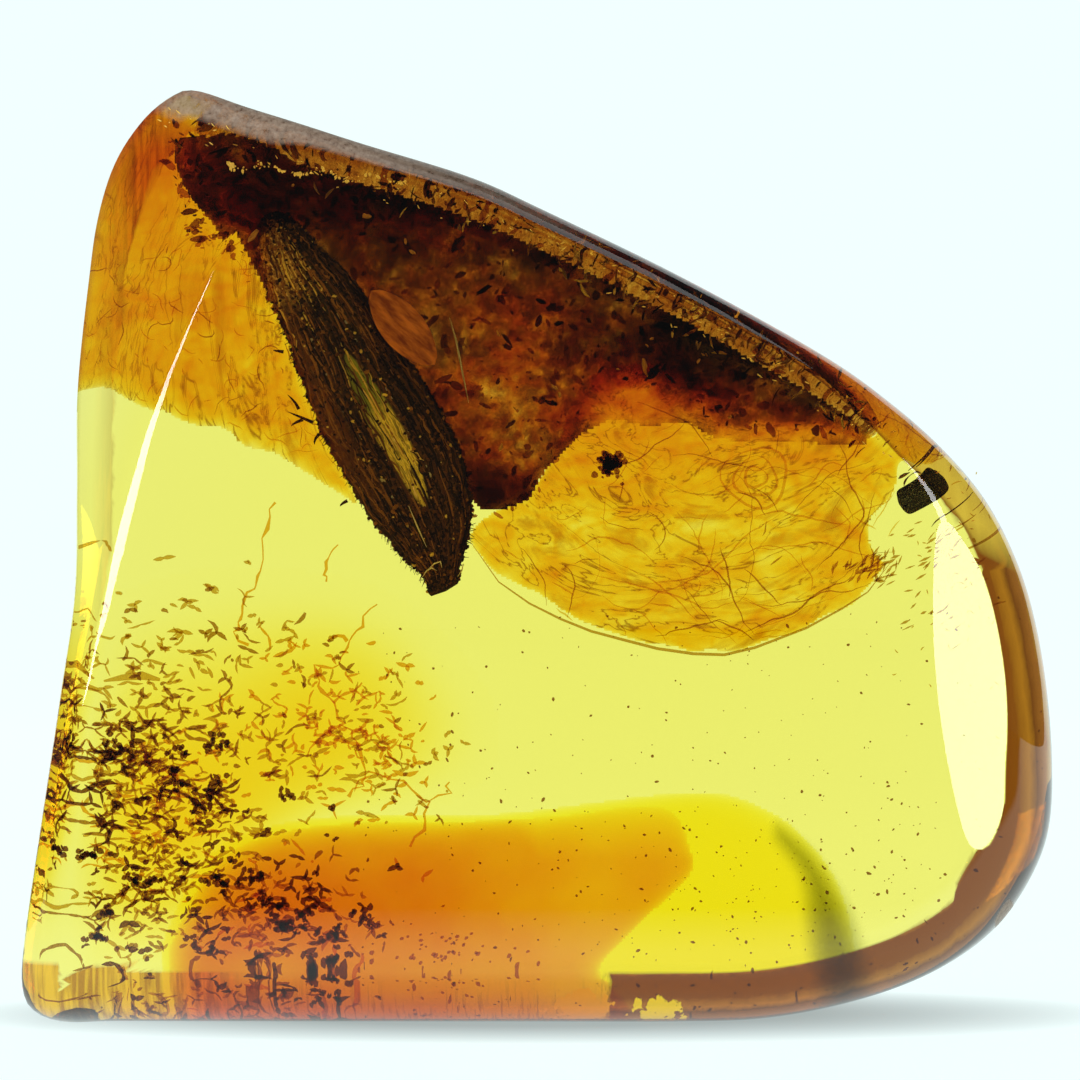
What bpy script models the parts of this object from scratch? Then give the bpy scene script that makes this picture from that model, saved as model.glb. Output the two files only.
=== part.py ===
"""A polished piece of clear amber that stands on its flat lower edge.

A dark insect, a mass of bark debris, one frass pellet and three older, deeper gold flows of
resin are sealed in it. The amber is parted into a front and a back half on an upright plane
through the things that it holds, and each of those things lies in a pocket there. The front of
the piece faces -Y, and the origin is on the surface that it stands on, below the middle of its
box.
"""

import math

import bmesh
import bpy
from mathutils import Vector, noise
from mathutils.geometry import delaunay_2d_cdt, intersect_point_line

MM = 0.001

# Driving dimensions of the amber, in millimetres
THICKNESS = 7.0
PARTING_GAP = 0.3
OUTLINE_POINTS = 100
RIM_STEPS = 5
FACE_STEPS = 4

# Each face swells gently about one point (x, z), and is level with THICKNESS where the
# swelling ends
SWELL_CENTRE = (0.6, 7.4)
SWELL_REACH = (9.6, 8.6)
FRONT_SWELL = 0.36
BACK_SWELL = 0.36

# The amber's outline as seen from the front: x and z in millimetres, up the left side, over
# the peak, down the long slope and round the right end. The base lies just under z = 0.
OUTLINE = [
    (-8.2, -0.06), (-9.3, -0.05), (-9.86, 0.2), (-10.06, 0.7), (-9.98, 1.8), (-9.66, 4.0),
    (-9.3, 6.4), (-9.03, 8.4), (-9.03, 10.4), (-9.07, 12.4), (-8.9, 14.6), (-8.72, 15.8),
    (-8.36, 16.85), (-7.8, 17.65), (-7.2, 18.12), (-6.7, 18.22), (-5.6, 17.84), (-3.6, 17.18),
    (-1.4, 16.5), (0.0, 15.88), (2.76, 14.54), (5.52, 13.02), (6.9, 12.06), (7.95, 11.14),
    (8.72, 10.24), (9.28, 9.2), (9.66, 8.1), (9.93, 6.7), (10.06, 5.2), (10.02, 3.9),
    (9.72, 2.95), (9.1, 1.98), (8.3, 1.28), (7.2, 0.7), (5.8, 0.26), (4.3, 0.0), (2.6, -0.06),
    (0.0, -0.06), (-4.0, -0.06),
]

# How wide and how deep the front rim is rounded, by the way that the outline faces there:
# (direction in degrees from +X towards +Z, width, depth), in millimetres
FRONT_RIM = [
    (-180.0, 0.3, 0.6), (-150.0, 0.8, 0.9), (-90.0, 0.9, 0.9), (-60.0, 0.9, 1.3),
    (0.0, 1.3, 2.0), (40.0, 0.8, 1.6), (62.0, 0.4, 0.6), (100.0, 0.5, 0.6), (180.0, 0.3, 0.6),
]
BACK_RIM = [
    (-180.0, 0.4, 0.7), (-150.0, 0.8, 0.9), (-90.0, 0.9, 0.9), (-60.0, 0.9, 1.3),
    (0.0, 0.95, 2.0), (62.0, 0.6, 0.9), (110.0, 0.9, 1.3), (180.0, 0.4, 0.7),
]

# The rounding narrows straight towards this point (x, z) of a face. Where the outline slants
# away from that line, the width is measured along the line, down to this share of it.
FACE_MIDDLE = (-0.6, 7.6)
LEAST_SLANT = 0.35

# The left side face is widest and deepest near the top, and narrows on its way down. A ridge
# parts it from the front face, from the peak to the foot: (x, z, how deep the side face is
# there, how many degrees it turns from the outline to the ridge)
RIDGE = [
    (-6.6, 17.2, 1.0, 90.0), (-6.85, 16.5, 1.8, 75.0), (-6.75, 15.9, 2.4, 56.0),
    (-6.1, 15.0, 2.8, 52.0), (-6.87, 13.3, 2.4, 52.0), (-7.31, 12.13, 2.0, 52.0),
    (-7.75, 10.8, 1.5, 52.0), (-8.04, 9.84, 1.15, 52.0), (-8.4, 8.34, 0.8, 52.0),
    (-8.69, 6.94, 0.7, 52.0), (-9.13, 4.17, 0.7, 52.0), (-9.37, 2.44, 0.7, 56.0),
    (-9.35, 1.2, 0.8, 75.0),
]
FULL_TURN = 90.0

# A flat, slightly turned facet on the right of the front face: two points of its inner edge
# (x, z), and how far it turns to the right
FACET_TOP = (7.5, 9.85)
FACET_FOOT = (8.17, 3.3)
FACET_TURN = 9.0

# The insect: axis from its upper end to the knob at its lower end, (x, z), and its body along
# that axis, as (share of the length, half-width, how far it bows out to the right)
INSECT_TOP = (-5.32, 15.78)
INSECT_FOOT = (-1.86, 8.42)
INSECT_DEPTH_SHARE = 0.55
INSECT_SIDES = 14
INSECT_GIRTH = [
    (0.0, 0.14, 0.06), (0.03, 0.3, 0.06), (0.08, 0.5, 0.05), (0.15, 0.66, 0.06),
    (0.22, 0.78, 0.13), (0.3, 0.88, 0.18), (0.4, 0.97, 0.2), (0.5, 1.07, 0.25),
    (0.6, 1.13, 0.31), (0.7, 1.09, 0.36), (0.78, 1.0, 0.35), (0.85, 0.84, 0.32),
    (0.9, 0.65, 0.27), (0.94, 0.45, 0.19), (0.965, 0.35, 0.1), (0.985, 0.36, 0.05),
    (1.0, 0.2, 0.02),
]

# The bark debris: a broken, lumpy slab under the long slope, with a bay for the insect
DEBRIS_DEPTH = 2.0
DEBRIS_RIM = 0.18
DEBRIS_POINTS = 90
DEBRIS_LUMP = 0.75
DEBRIS_HOLLOW = 0.55
DEBRIS_OUTLINE = [
    (-6.95, 17.3), (-5.62, 17.08), (-3.6, 16.46), (-1.38, 15.76), (0.0, 15.14), (1.38, 14.46),
    (2.76, 13.76), (4.14, 13.02), (5.4, 12.28), (6.3, 11.68), (6.55, 11.4), (6.2, 11.3),
    (5.2, 11.55), (4.3, 11.65), (3.3, 11.75),
    (2.7, 12.4), (1.7, 12.6), (0.95, 12.2), (0.4, 11.2), (0.0, 10.4), (-0.7, 9.85),
    (-0.95, 10.5), (-1.1, 11.3), (-1.5, 12.15), (-2.0, 13.0), (-2.55, 13.8), (-3.1, 14.7),
    (-3.95, 15.65), (-4.85, 16.3), (-5.65, 16.3), (-6.0, 15.6), (-5.95, 14.5), (-6.35, 14.75),
    (-6.95, 15.75), (-7.35, 16.7),
]
POCKET_DEPTH = 2.6
POCKET_OUTLINE = [
    (-7.0, 17.62), (-5.5, 17.4), (-3.5, 16.78), (-1.3, 16.08), (1.45, 14.76), (4.2, 13.32),
    (5.5, 12.58), (6.5, 11.95), (6.9, 11.45), (6.45, 11.0), (5.2, 11.2), (4.3, 11.3),
    (3.05, 11.42), (2.5, 12.0), (1.75, 12.25),
    (1.25, 11.9), (0.75, 11.0), (0.3, 10.15), (-0.55, 9.45), (-1.4, 9.7), (-2.3, 11.6),
    (-4.2, 14.7), (-5.6, 14.0), (-6.7, 14.5), (-7.3, 15.65), (-7.7, 16.8),
]

# Older flows of resin inside the clear one, stained a deeper gold: a crinkled lens under the
# debris, a flow at the left of the insect and one along the foot. Each is an upright slab.
FLOW_DEPTH = 1.0
FLOW_RIM = 0.12
FLOW_POINTS = 48
FLOWS = {
    "gold_lens": [
        (-0.9, 9.3), (-0.75, 8.7), (0.4, 7.95), (1.6, 7.5), (3.0, 7.2), (4.0, 7.3), (5.2, 7.7),
        (6.3, 8.4), (6.7, 9.1), (6.5, 9.8), (6.45, 10.5), (6.15, 10.85), (5.2, 11.1),
        (4.3, 11.2), (3.1, 11.3), (2.45, 11.85), (1.75, 12.15), (1.35, 11.85), (0.85, 10.95),
        (0.4, 10.1), (-0.4, 9.4),
    ],
    "left_gold_flow": [
        (-8.35, 12.6), (-8.1, 12.3), (-7.5, 12.1), (-6.8, 11.7), (-5.8, 11.3), (-4.9, 10.85),
        (-4.5, 10.8), (-4.4, 11.1), (-4.8, 11.9), (-5.2, 12.9), (-5.65, 13.7), (-6.1, 14.05),
        (-6.7, 14.3), (-7.2, 15.0), (-7.5, 15.6), (-7.8, 15.8), (-8.1, 15.5), (-8.3, 14.2),
    ],
    "lower_gold_flow": [
        (-7.3, 1.3), (-7.1, 2.1), (-6.6, 3.0), (-5.7, 3.6), (-4.4, 3.95), (-3.0, 4.05),
        (-1.2, 4.1), (0.0, 4.2), (1.2, 4.35), (2.2, 4.5), (3.2, 4.55), (4.0, 4.4),
        (4.9, 3.95), (5.6, 3.2), (6.0, 2.4), (6.1, 1.6), (5.8, 1.05), (4.5, 0.85),
        (0.0, 0.8), (-4.0, 0.8), (-6.7, 0.85),
    ],
}

# The frass pellet: a short six-sided rod with worn ends
PELLET_PLACE = (7.42, 10.34)
PELLET_LENGTH = 0.9
PELLET_WIDTH = 0.54
PELLET_TILT = 30.0
PELLET_SIDES = 6
PELLET_WEAR = 0.14
POCKET_SIDES = 12
POCKET_GAP = 0.3


def clear_scene():
    for thing in list(bpy.data.objects):
        bpy.data.objects.remove(thing, do_unlink=True)


def material(name, colour, roughness, transmission=0.0, ior=1.5):
    made = bpy.data.materials.new(name)
    made.use_nodes = True
    shader = made.node_tree.nodes["Principled BSDF"]
    shader.inputs["Base Color"].default_value = (*colour, 1.0)
    shader.inputs["Roughness"].default_value = roughness
    shader.inputs["Metallic"].default_value = 0.0
    shader.inputs["Transmission Weight"].default_value = transmission
    shader.inputs["IOR"].default_value = ior
    return made


def add_object(name, bm, finish=None, sharp_degrees=30.0):
    """Turns a bmesh in millimetres into a named object in metres."""
    bmesh.ops.scale(bm, vec=(MM, MM, MM), verts=bm.verts)
    bmesh.ops.recalc_face_normals(bm, faces=bm.faces)
    mesh = bpy.data.meshes.new(name)
    bm.to_mesh(mesh)
    bm.free()
    mesh.shade_smooth()
    mesh.set_sharp_from_angle(angle=math.radians(sharp_degrees))
    if finish is not None:
        mesh.materials.append(finish)
    thing = bpy.data.objects.new(name, mesh)
    bpy.context.scene.collection.objects.link(thing)
    return thing


def smooth_loop(points, count):
    """Even points along a closed smooth curve through the given points."""
    fine = []
    steps = 12
    for i in range(len(points)):
        p0, p1, p2, p3 = (Vector(points[(i + k) % len(points)]) for k in (-1, 0, 1, 2))
        for s in range(steps):
            t = s / steps
            fine.append(
                0.5 * (2 * p1 + (p2 - p0) * t + (2 * p0 - 5 * p1 + 4 * p2 - p3) * t**2
                       + (3 * p1 - p0 - 3 * p2 + p3) * t**3)
            )
    lengths = [0.0]
    for i in range(len(fine)):
        lengths.append(lengths[-1] + (fine[(i + 1) % len(fine)] - fine[i]).length)
    even, at = [], 0
    for k in range(count):
        want = lengths[-1] * k / count
        while lengths[at + 1] < want:
            at += 1
        share = (want - lengths[at]) / (lengths[at + 1] - lengths[at])
        even.append(fine[at].lerp(fine[(at + 1) % len(fine)], share))
    return even


def outward(loop):
    """The outward direction at each point of a loop, whichever way it runs round."""
    area = sum(a.x * b.y - b.x * a.y for a, b in zip(loop, loop[1:] + loop[:1]))
    turn = 1.0 if area > 0 else -1.0
    ways = []
    for before, after in zip(loop[-1:] + loop[:-1], loop[1:] + loop[:1]):
        along = (after - before).normalized()
        ways.append(Vector((along.y, -along.x)) * turn)
    return ways


def at_angle(table, degrees):
    """The values of a table at a direction between two of its rows."""
    for (a, *low), (b, *high) in zip(table, table[1:]):
        if a <= degrees <= b:
            share = (degrees - a) / (b - a)
            return [u + (v - u) * share for u, v in zip(low, high)]
    return table[0][1:]


def plain_rim(p, way, table):
    """Inset towards the face's middle, depth and turn of the rounding at an outline point."""
    towards = (Vector(FACE_MIDDLE) - p).normalized()
    width, depth = at_angle(table, math.degrees(math.atan2(way.y, way.x)))
    return [width / max(LEAST_SLANT, -way.dot(towards)), depth, FULL_TURN]


def bearing(p):
    """The direction of a point from the face's middle, in degrees from 0 to 360."""
    arm = p - Vector(FACE_MIDDLE)
    return math.degrees(math.atan2(arm.y, arm.x)) % 360.0


def front_rim(p, way):
    """The rounding of the front: as far in as the ridge, where the ridge is."""
    rows = []
    for x, z, depth, turn in RIDGE:
        corner = Vector((x, z))
        rows.append((bearing(corner), (corner - Vector(FACE_MIDDLE)).length, depth, turn))
    if not rows[0][0] <= bearing(p) <= rows[-1][0]:
        return plain_rim(p, way, FRONT_RIM)
    distance, depth, turn = at_angle(rows, bearing(p))
    return [(p - Vector(FACE_MIDDLE)).length - distance, depth, turn]


def back_rim(p, way):
    return plain_rim(p, way, BACK_RIM)


def even_out(rows, passes=3):
    """Softens the changes of a rim along the outline."""
    for _ in range(passes):
        rows = [
            [(a + 2 * b + c) / 4 for a, b, c in zip(before, row, after)]
            for before, row, after in zip(rows[-1:] + rows[:-1], rows, rows[1:] + rows[:1])
        ]
    return rows


def bridge(bm, first, second):
    for i in range(len(first)):
        j = (i + 1) % len(first)
        bm.faces.new((first[i], first[j], second[j], second[i]))


def swelling(x, z, height):
    """How far a face stands out at a point, past half the thickness."""
    (cx, cz), (rx, rz) = SWELL_CENTRE, SWELL_REACH
    return height * (1 - ((x - cx) / rx) ** 2 - ((z - cz) / rz) ** 2)


def amber_side(bm, middle, loop, ways, rim, side, height):
    """Rounds one side of the amber from its middle ring to its face, and swells that face."""
    face_middle = Vector(FACE_MIDDLE)
    inwards = [(face_middle - p).normalized() for p in loop]
    rows = even_out([rim(p, way) for p, way in zip(loop, ways)])
    half = THICKNESS / 2
    ring = middle
    for step in range(RIM_STEPS + 1):
        verts = []
        for p, inward_way, (width, depth, turn) in zip(loop, inwards, rows):
            last = math.radians(turn)
            angle = last * step / RIM_STEPS
            inward = width * (1 - math.cos(angle)) / (1 - math.cos(last))
            rise = math.sin(angle) / math.sin(last)
            q = p + inward_way * inward
            out = half - depth * (1 - rise) + swelling(q.x, q.y, height) * rise
            verts.append(bm.verts.new((q.x, side * out, q.y)))
        bridge(bm, ring, verts)
        ring = verts
    edge = [v.co.copy() for v in ring]
    centre = Vector((face_middle.x, 0.0, face_middle.y))
    for step in range(1, FACE_STEPS):
        verts = []
        for co in edge:
            q = co.lerp(centre, step / FACE_STEPS)
            verts.append(bm.verts.new((q.x, side * (half + swelling(q.x, q.z, height)), q.z)))
        bridge(bm, ring, verts)
        ring = verts
    out = half + swelling(centre.x, centre.z, height)
    top = bm.verts.new((centre.x, side * out, centre.z))
    for i in range(len(ring)):
        bm.faces.new((ring[i], ring[(i + 1) % len(ring)], top))


def cut_away(bm, point, normal):
    """Cuts off what lies beyond a plane, and closes the cut with a flat face."""
    everything = bm.verts[:] + bm.edges[:] + bm.faces[:]
    made = bmesh.ops.bisect_plane(
        bm, geom=everything, dist=1e-5, plane_co=point, plane_no=normal, clear_outer=True
    )
    edges = [e for e in made["geom_cut"] if isinstance(e, bmesh.types.BMEdge)]
    bmesh.ops.holes_fill(bm, edges=edges, sides=0)


def amber_body():
    """The whole polished piece, before it is parted."""
    bm = bmesh.new()
    loop = smooth_loop(OUTLINE, OUTLINE_POINTS)
    ways = outward(loop)
    middle = [bm.verts.new((p.x, 0.0, p.y)) for p in loop]
    amber_side(bm, middle, loop, ways, front_rim, -1, FRONT_SWELL)
    amber_side(bm, middle, loop, ways, back_rim, 1, BACK_SWELL)
    bmesh.ops.recalc_face_normals(bm, faces=bm.faces)
    cut_away(bm, (0, 0, 0), (0, 0, -1))
    top, foot = (
        Vector((x, -THICKNESS / 2 - swelling(x, z, FRONT_SWELL), z))
        for x, z in (FACET_TOP, FACET_FOOT)
    )
    edge = (foot - top).normalized()
    turn = math.radians(FACET_TURN)
    flat = Vector((0, -1, 0))
    sideways = edge.cross(flat).normalized()
    if sideways.x < 0:
        sideways.negate()
    cut_away(bm, top, flat * math.cos(turn) + sideways * math.sin(turn))
    return bm


def amber_half(name, side, finish):
    bm = amber_body()
    cut_away(bm, (0, side * PARTING_GAP / 2, 0), (0, -side, 0))
    return add_object(name, bm, finish)


def insect_body(grown):
    """A slim spindle with a small knob at its foot. The pocket is the same shape, grown."""
    bm = bmesh.new()
    top, foot = (Vector((x, 0.0, z)) for x, z in (INSECT_TOP, INSECT_FOOT))
    along = (foot - top).normalized()
    across = Vector((-along.z, 0.0, along.x))
    depth = Vector((0.0, 1.0, 0.0))
    length = (foot - top).length
    ring = None
    for t, girth, aside in INSECT_GIRTH:
        place = top + along * (length * t + grown * (2 * t - 1))
        place += across * aside
        wide = girth + grown
        deep = girth * INSECT_DEPTH_SHARE + grown
        verts = []
        for k in range(INSECT_SIDES):
            a = math.tau * (k + 0.5) / INSECT_SIDES
            co = place + across * wide * math.cos(a) + depth * deep * math.sin(a)
            verts.append(bm.verts.new(co))
        if ring is None:
            bm.faces.new(verts)
        else:
            bridge(bm, ring, verts)
        ring = verts
    bm.faces.new(list(reversed(ring)))
    return bm


def slab(outline, count, depth, rim, grown=0.0):
    """An upright slab of the outline's shape, grown by a gap all round, with bevelled rims."""
    bm = bmesh.new()
    loop = smooth_loop(outline, count)
    ways = outward(loop)
    ring = None
    half = depth / 2 + grown
    for y, inward in ((-half, rim), (rim - half, 0.0), (half - rim, 0.0), (half, rim)):
        verts = []
        for p, way in zip(loop, ways):
            q = p + way * (grown - inward)
            verts.append(bm.verts.new((q.x, y, q.y)))
        if ring is None:
            bm.faces.new(verts)
        else:
            bridge(bm, ring, verts)
        ring = verts
    bm.faces.new(list(reversed(ring)))
    return bm


def within(loop, q):
    """How far a point lies inside a loop, or 0 where it lies outside."""
    crossings, nearest = 0, math.inf
    for a, b in zip(loop, loop[1:] + loop[:1]):
        if (a.y > q.y) != (b.y > q.y):
            crossings += q.x < a.x + (q.y - a.y) * (b.x - a.x) / (b.y - a.y)
        foot, share = intersect_point_line(q, a, b)
        nearest = min(nearest, (foot.xy - q).length if 0 <= share <= 1 else (a - q).length)
    return nearest if crossings % 2 else 0.0


def lumpy_slab(outline, count, depth, rim, lump, hollow):
    """An upright slab like the one above, with lumps and hollows on its two faces."""
    bm = bmesh.new()
    loop = smooth_loop(outline, count)
    inner = [p - way * rim for p, way in zip(loop, outward(loop))]
    points = list(inner)
    across = [p.x for p in loop]
    up = [p.y for p in loop]
    for row in range(int((max(up) - min(up)) / lump) + 1):
        for column in range(int((max(across) - min(across)) / lump) + 1):
            shift = 0.5 * (row % 2)
            q = Vector((min(across) + (column + shift) * lump, min(up) + row * lump))
            if within(loop, q) > rim + 0.4 * lump:
                points.append(q)
    ring_edges = [(i, (i + 1) % count) for i in range(count)]
    flat, _, faces, *_ = delaunay_2d_cdt(points, ring_edges, [], 1, 1e-5)
    half = depth / 2
    sides = []
    for side in (-1, 1):
        rise = [bm.verts.new((p.x, side * (half - rim), p.y)) for p in loop]
        top = []
        for p in flat:
            bump = 0.5 + 0.5 * noise.noise(Vector((p.x, side * 5.0, p.y)) * 0.9)
            y = half - hollow * min(1.0, max(0.0, bump))
            top.append(bm.verts.new((p.x, side * y, p.y)))
        for face in faces:
            bm.faces.new([top[i] for i in face])
        bridge(bm, rise, top[:count])
        sides.append(rise)
    bridge(bm, sides[0], sides[1])
    return bm


def rod(length, width, place, tilt, sides, worn):
    """A short rod that lies along the tilt, with ends that are worn round."""
    bm = bmesh.new()
    x, z = place
    along = Vector((math.cos(math.radians(tilt)), 0.0, math.sin(math.radians(tilt))))
    across = Vector((-along.z, 0.0, along.x))
    depth = Vector((0.0, 1.0, 0.0))
    ring = None
    half = length / 2
    stations = ((-half, 0.55), (worn - half, 0.88), (0, 1.0), (half - worn, 0.88), (half, 0.55))
    for s, share in stations:
        verts = []
        for k in range(sides):
            a = math.tau * k / sides
            radial = across * math.cos(a) + depth * math.sin(a)
            co = Vector((x, 0.0, z)) + along * s + radial * share * width / 2
            verts.append(bm.verts.new(co))
        if ring is None:
            bm.faces.new(verts)
        else:
            bridge(bm, ring, verts)
        ring = verts
    bm.faces.new(list(reversed(ring)))
    return bm


def hidden_cutter(name, bm):
    cutter = add_object(name, bm)
    cutter.hide_render = True
    cutter.display_type = "WIRE"
    return cutter


def cut_pockets(half, cutters):
    for cutter in cutters:
        cut = half.modifiers.new(cutter.name, "BOOLEAN")
        cut.operation = "DIFFERENCE"
        cut.solver = "EXACT"
        cut.object = cutter


clear_scene()

amber = material("amber", (0.93, 0.62, 0.07), 0.05, transmission=1.0, ior=1.54)
gold_resin = material("gold_resin", (0.85, 0.45, 0.02), 0.05, transmission=1.0, ior=1.54)
husk = material("insect_dark", (0.055, 0.03, 0.012), 0.55)
bark = material("bark_brown", (0.10, 0.03, 0.008), 0.8)
frass = material("frass_grey", (0.045, 0.045, 0.04), 0.85)

pellet_room = rod(
    PELLET_LENGTH + POCKET_GAP,
    PELLET_WIDTH + 2 * POCKET_GAP,
    PELLET_PLACE,
    PELLET_TILT,
    POCKET_SIDES,
    PELLET_WEAR,
)
pockets = [
    hidden_cutter("insect_pocket", insect_body(POCKET_GAP)),
    hidden_cutter("debris_pocket", slab(POCKET_OUTLINE, DEBRIS_POINTS, POCKET_DEPTH, DEBRIS_RIM)),
    hidden_cutter("pellet_pocket", pellet_room),
]
for name, outline in FLOWS.items():
    room = slab(outline, FLOW_POINTS, FLOW_DEPTH, FLOW_RIM, POCKET_GAP)
    pockets.append(hidden_cutter(name + "_pocket", room))

amber_front = amber_half("amber_front", -1, amber)
amber_back = amber_half("amber_back", 1, amber)
cut_pockets(amber_front, pockets)
cut_pockets(amber_back, pockets)

for name, outline in FLOWS.items():
    add_object(name, slab(outline, FLOW_POINTS, FLOW_DEPTH, FLOW_RIM), gold_resin)
add_object("insect", insect_body(0.0), husk)
debris = lumpy_slab(
    DEBRIS_OUTLINE, DEBRIS_POINTS, DEBRIS_DEPTH, DEBRIS_RIM, DEBRIS_LUMP, DEBRIS_HOLLOW
)
add_object("bark_debris", debris, bark)
add_object(
    "frass_pellet",
    rod(PELLET_LENGTH, PELLET_WIDTH, PELLET_PLACE, PELLET_TILT, PELLET_SIDES, PELLET_WEAR),
    frass,
)
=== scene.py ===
import math
import random

import bpy
import numpy as np
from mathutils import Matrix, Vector, noise


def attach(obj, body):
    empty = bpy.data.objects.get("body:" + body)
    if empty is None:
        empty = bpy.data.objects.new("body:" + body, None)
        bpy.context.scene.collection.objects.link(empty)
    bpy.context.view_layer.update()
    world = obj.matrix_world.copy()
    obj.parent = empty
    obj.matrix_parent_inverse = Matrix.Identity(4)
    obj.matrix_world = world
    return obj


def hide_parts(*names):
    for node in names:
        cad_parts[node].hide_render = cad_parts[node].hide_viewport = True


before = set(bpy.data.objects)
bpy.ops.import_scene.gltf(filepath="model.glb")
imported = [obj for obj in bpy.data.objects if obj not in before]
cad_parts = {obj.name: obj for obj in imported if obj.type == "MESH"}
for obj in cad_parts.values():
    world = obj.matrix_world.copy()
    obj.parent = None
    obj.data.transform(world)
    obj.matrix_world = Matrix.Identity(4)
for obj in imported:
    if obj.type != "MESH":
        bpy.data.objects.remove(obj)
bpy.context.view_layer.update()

# The amber is one clear piece of hardened resin, cut to a thick slab, rounded at its rims and
# polished. It stands on its flat lower edge. Here it is a ball pulled out to the slab's shape,
# ring by ring, then cut flat below and on the right of its front face.
MM = 0.001
SLAB_THICKNESS = 7.0
SLAB_OUTLINE = [
    (-8.2, -0.06), (-9.3, -0.05), (-9.86, 0.2), (-10.06, 0.7), (-9.98, 1.8), (-9.66, 4.0),
    (-9.3, 6.4), (-9.03, 8.4), (-9.03, 10.4), (-9.07, 12.4), (-8.9, 14.6), (-8.72, 15.8),
    (-8.36, 16.85), (-7.8, 17.65), (-7.2, 18.12), (-6.7, 18.22), (-5.6, 17.84), (-3.6, 17.18),
    (-1.4, 16.5), (0.0, 15.88), (2.76, 14.54), (5.52, 13.02), (6.9, 12.06), (7.95, 11.14),
    (8.72, 10.24), (9.28, 9.2), (9.66, 8.1), (9.93, 6.7), (10.06, 5.2), (10.02, 3.9),
    (9.72, 2.95), (9.1, 1.98), (8.3, 1.28), (7.2, 0.7), (5.8, 0.26), (4.3, 0.0), (2.6, -0.06),
    (0.0, -0.06), (-4.0, -0.06),
]
SLAB_MIDDLE = (-0.6, 7.6)
SWELL_CENTRE = (0.6, 7.4)
SWELL_REACH = (9.6, 8.6)
SWELL = 0.36
# Direction that the outline faces in degrees, then the width and the depth of its rounding
FRONT_RIM = [
    (-180.0, 0.3, 0.6), (-150.0, 0.8, 1.5), (-90.0, 1.25, 2.7), (-60.0, 1.25, 2.3),
    (0.0, 1.8, 2.0), (40.0, 1.0, 1.6), (62.0, 0.4, 0.6), (100.0, 0.5, 0.6), (140.0, 1.6, 1.5),
    (165.0, 1.6, 1.7), (180.0, 0.8, 1.2),
]
BACK_RIM = [
    (-180.0, 0.4, 0.7), (-150.0, 0.8, 0.9), (-90.0, 0.9, 0.9), (-60.0, 0.9, 1.3),
    (0.0, 0.95, 2.0), (62.0, 0.6, 0.9), (110.0, 0.9, 1.3), (180.0, 0.4, 0.7),
]
# A ridge parts the front face from the left side face: (x, z, how deep the side face is there,
# how many degrees it turns from the outline to the ridge)
RIDGE = [
    (-4.6, 17.0, 0.7, 90.0), (-5.4, 16.2, 1.2, 75.0), (-6.1, 15.0, 1.7, 52.0),
    (-6.5, 14.15, 2.1, 52.0), (-6.87, 13.3, 2.4, 52.0), (-7.31, 12.13, 2.0, 52.0),
    (-7.75, 10.8, 1.5, 52.0), (-8.04, 9.84, 1.15, 52.0), (-8.4, 8.34, 0.8, 52.0),
    (-8.69, 6.94, 0.7, 52.0), (-9.13, 4.17, 0.7, 52.0), (-9.37, 2.44, 0.7, 56.0),
    (-9.35, 1.2, 0.8, 75.0),
]
FULL_TURN = 90.0
LEAST_TURN = 52.0
SIDE_FACE_FLATNESS = 0.7
# The ridge is crisp at its top and worn round lower down: heights, and how far it is rounded
RIDGE_HEIGHTS = [3.0, 9.0, 14.0, 15.0]
RIDGE_WEAR = [0.34, 0.3, 0.08, 0.08]
SLAB_SEGMENTS = 360
ARC_STEPS = 9
RIDGE_STEPS = 6
FACE_SHARES = [1.0, 0.9, 0.8, 0.7, 0.6, 0.5, 0.4, 0.3, 0.2, 0.1, 0.05]
FACET_TOP = (7.62, 9.85)
FACET_FOOT = (8.3, 3.3)
FACET_TURN = 12.0


def smooth_loop(points, count):
    """Even points along a closed smooth curve through the given points."""
    fine, steps = [], 12
    for i in range(len(points)):
        p0, p1, p2, p3 = (Vector(points[(i + k) % len(points)]) for k in (-1, 0, 1, 2))
        for t in (s / steps for s in range(steps)):
            bend = (2 * p0 - 5 * p1 + 4 * p2 - p3) * t**2 + (3 * p1 - p0 - 3 * p2 + p3) * t**3
            fine.append(p1 + ((p2 - p0) * t + bend) / 2)
    lengths = [0.0]
    for here, there in zip(fine, fine[1:] + fine[:1]):
        lengths.append(lengths[-1] + (there - here).length)
    wants = np.linspace(0.0, lengths[-1], count, endpoint=False)
    closed = fine + fine[:1]
    across, up = (np.interp(wants, lengths, [p[k] for p in closed]) for k in (0, 1))
    return [Vector(p) for p in zip(across.tolist(), up.tolist())]


def outward(loop):
    """The outward direction at each point of a closed line that runs clockwise."""
    ways = []
    for before, after in zip(loop[-1:] + loop[:-1], loop[1:] + loop[:1]):
        along = (after - before).normalized()
        ways.append(Vector((-along.y, along.x)))
    return ways


def bearing(x, z):
    """The direction of a place from the middle of the faces, in degrees from 0 to 360."""
    return math.degrees(math.atan2(z - SLAB_MIDDLE[1], x - SLAB_MIDDLE[0])) % 360.0


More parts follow.
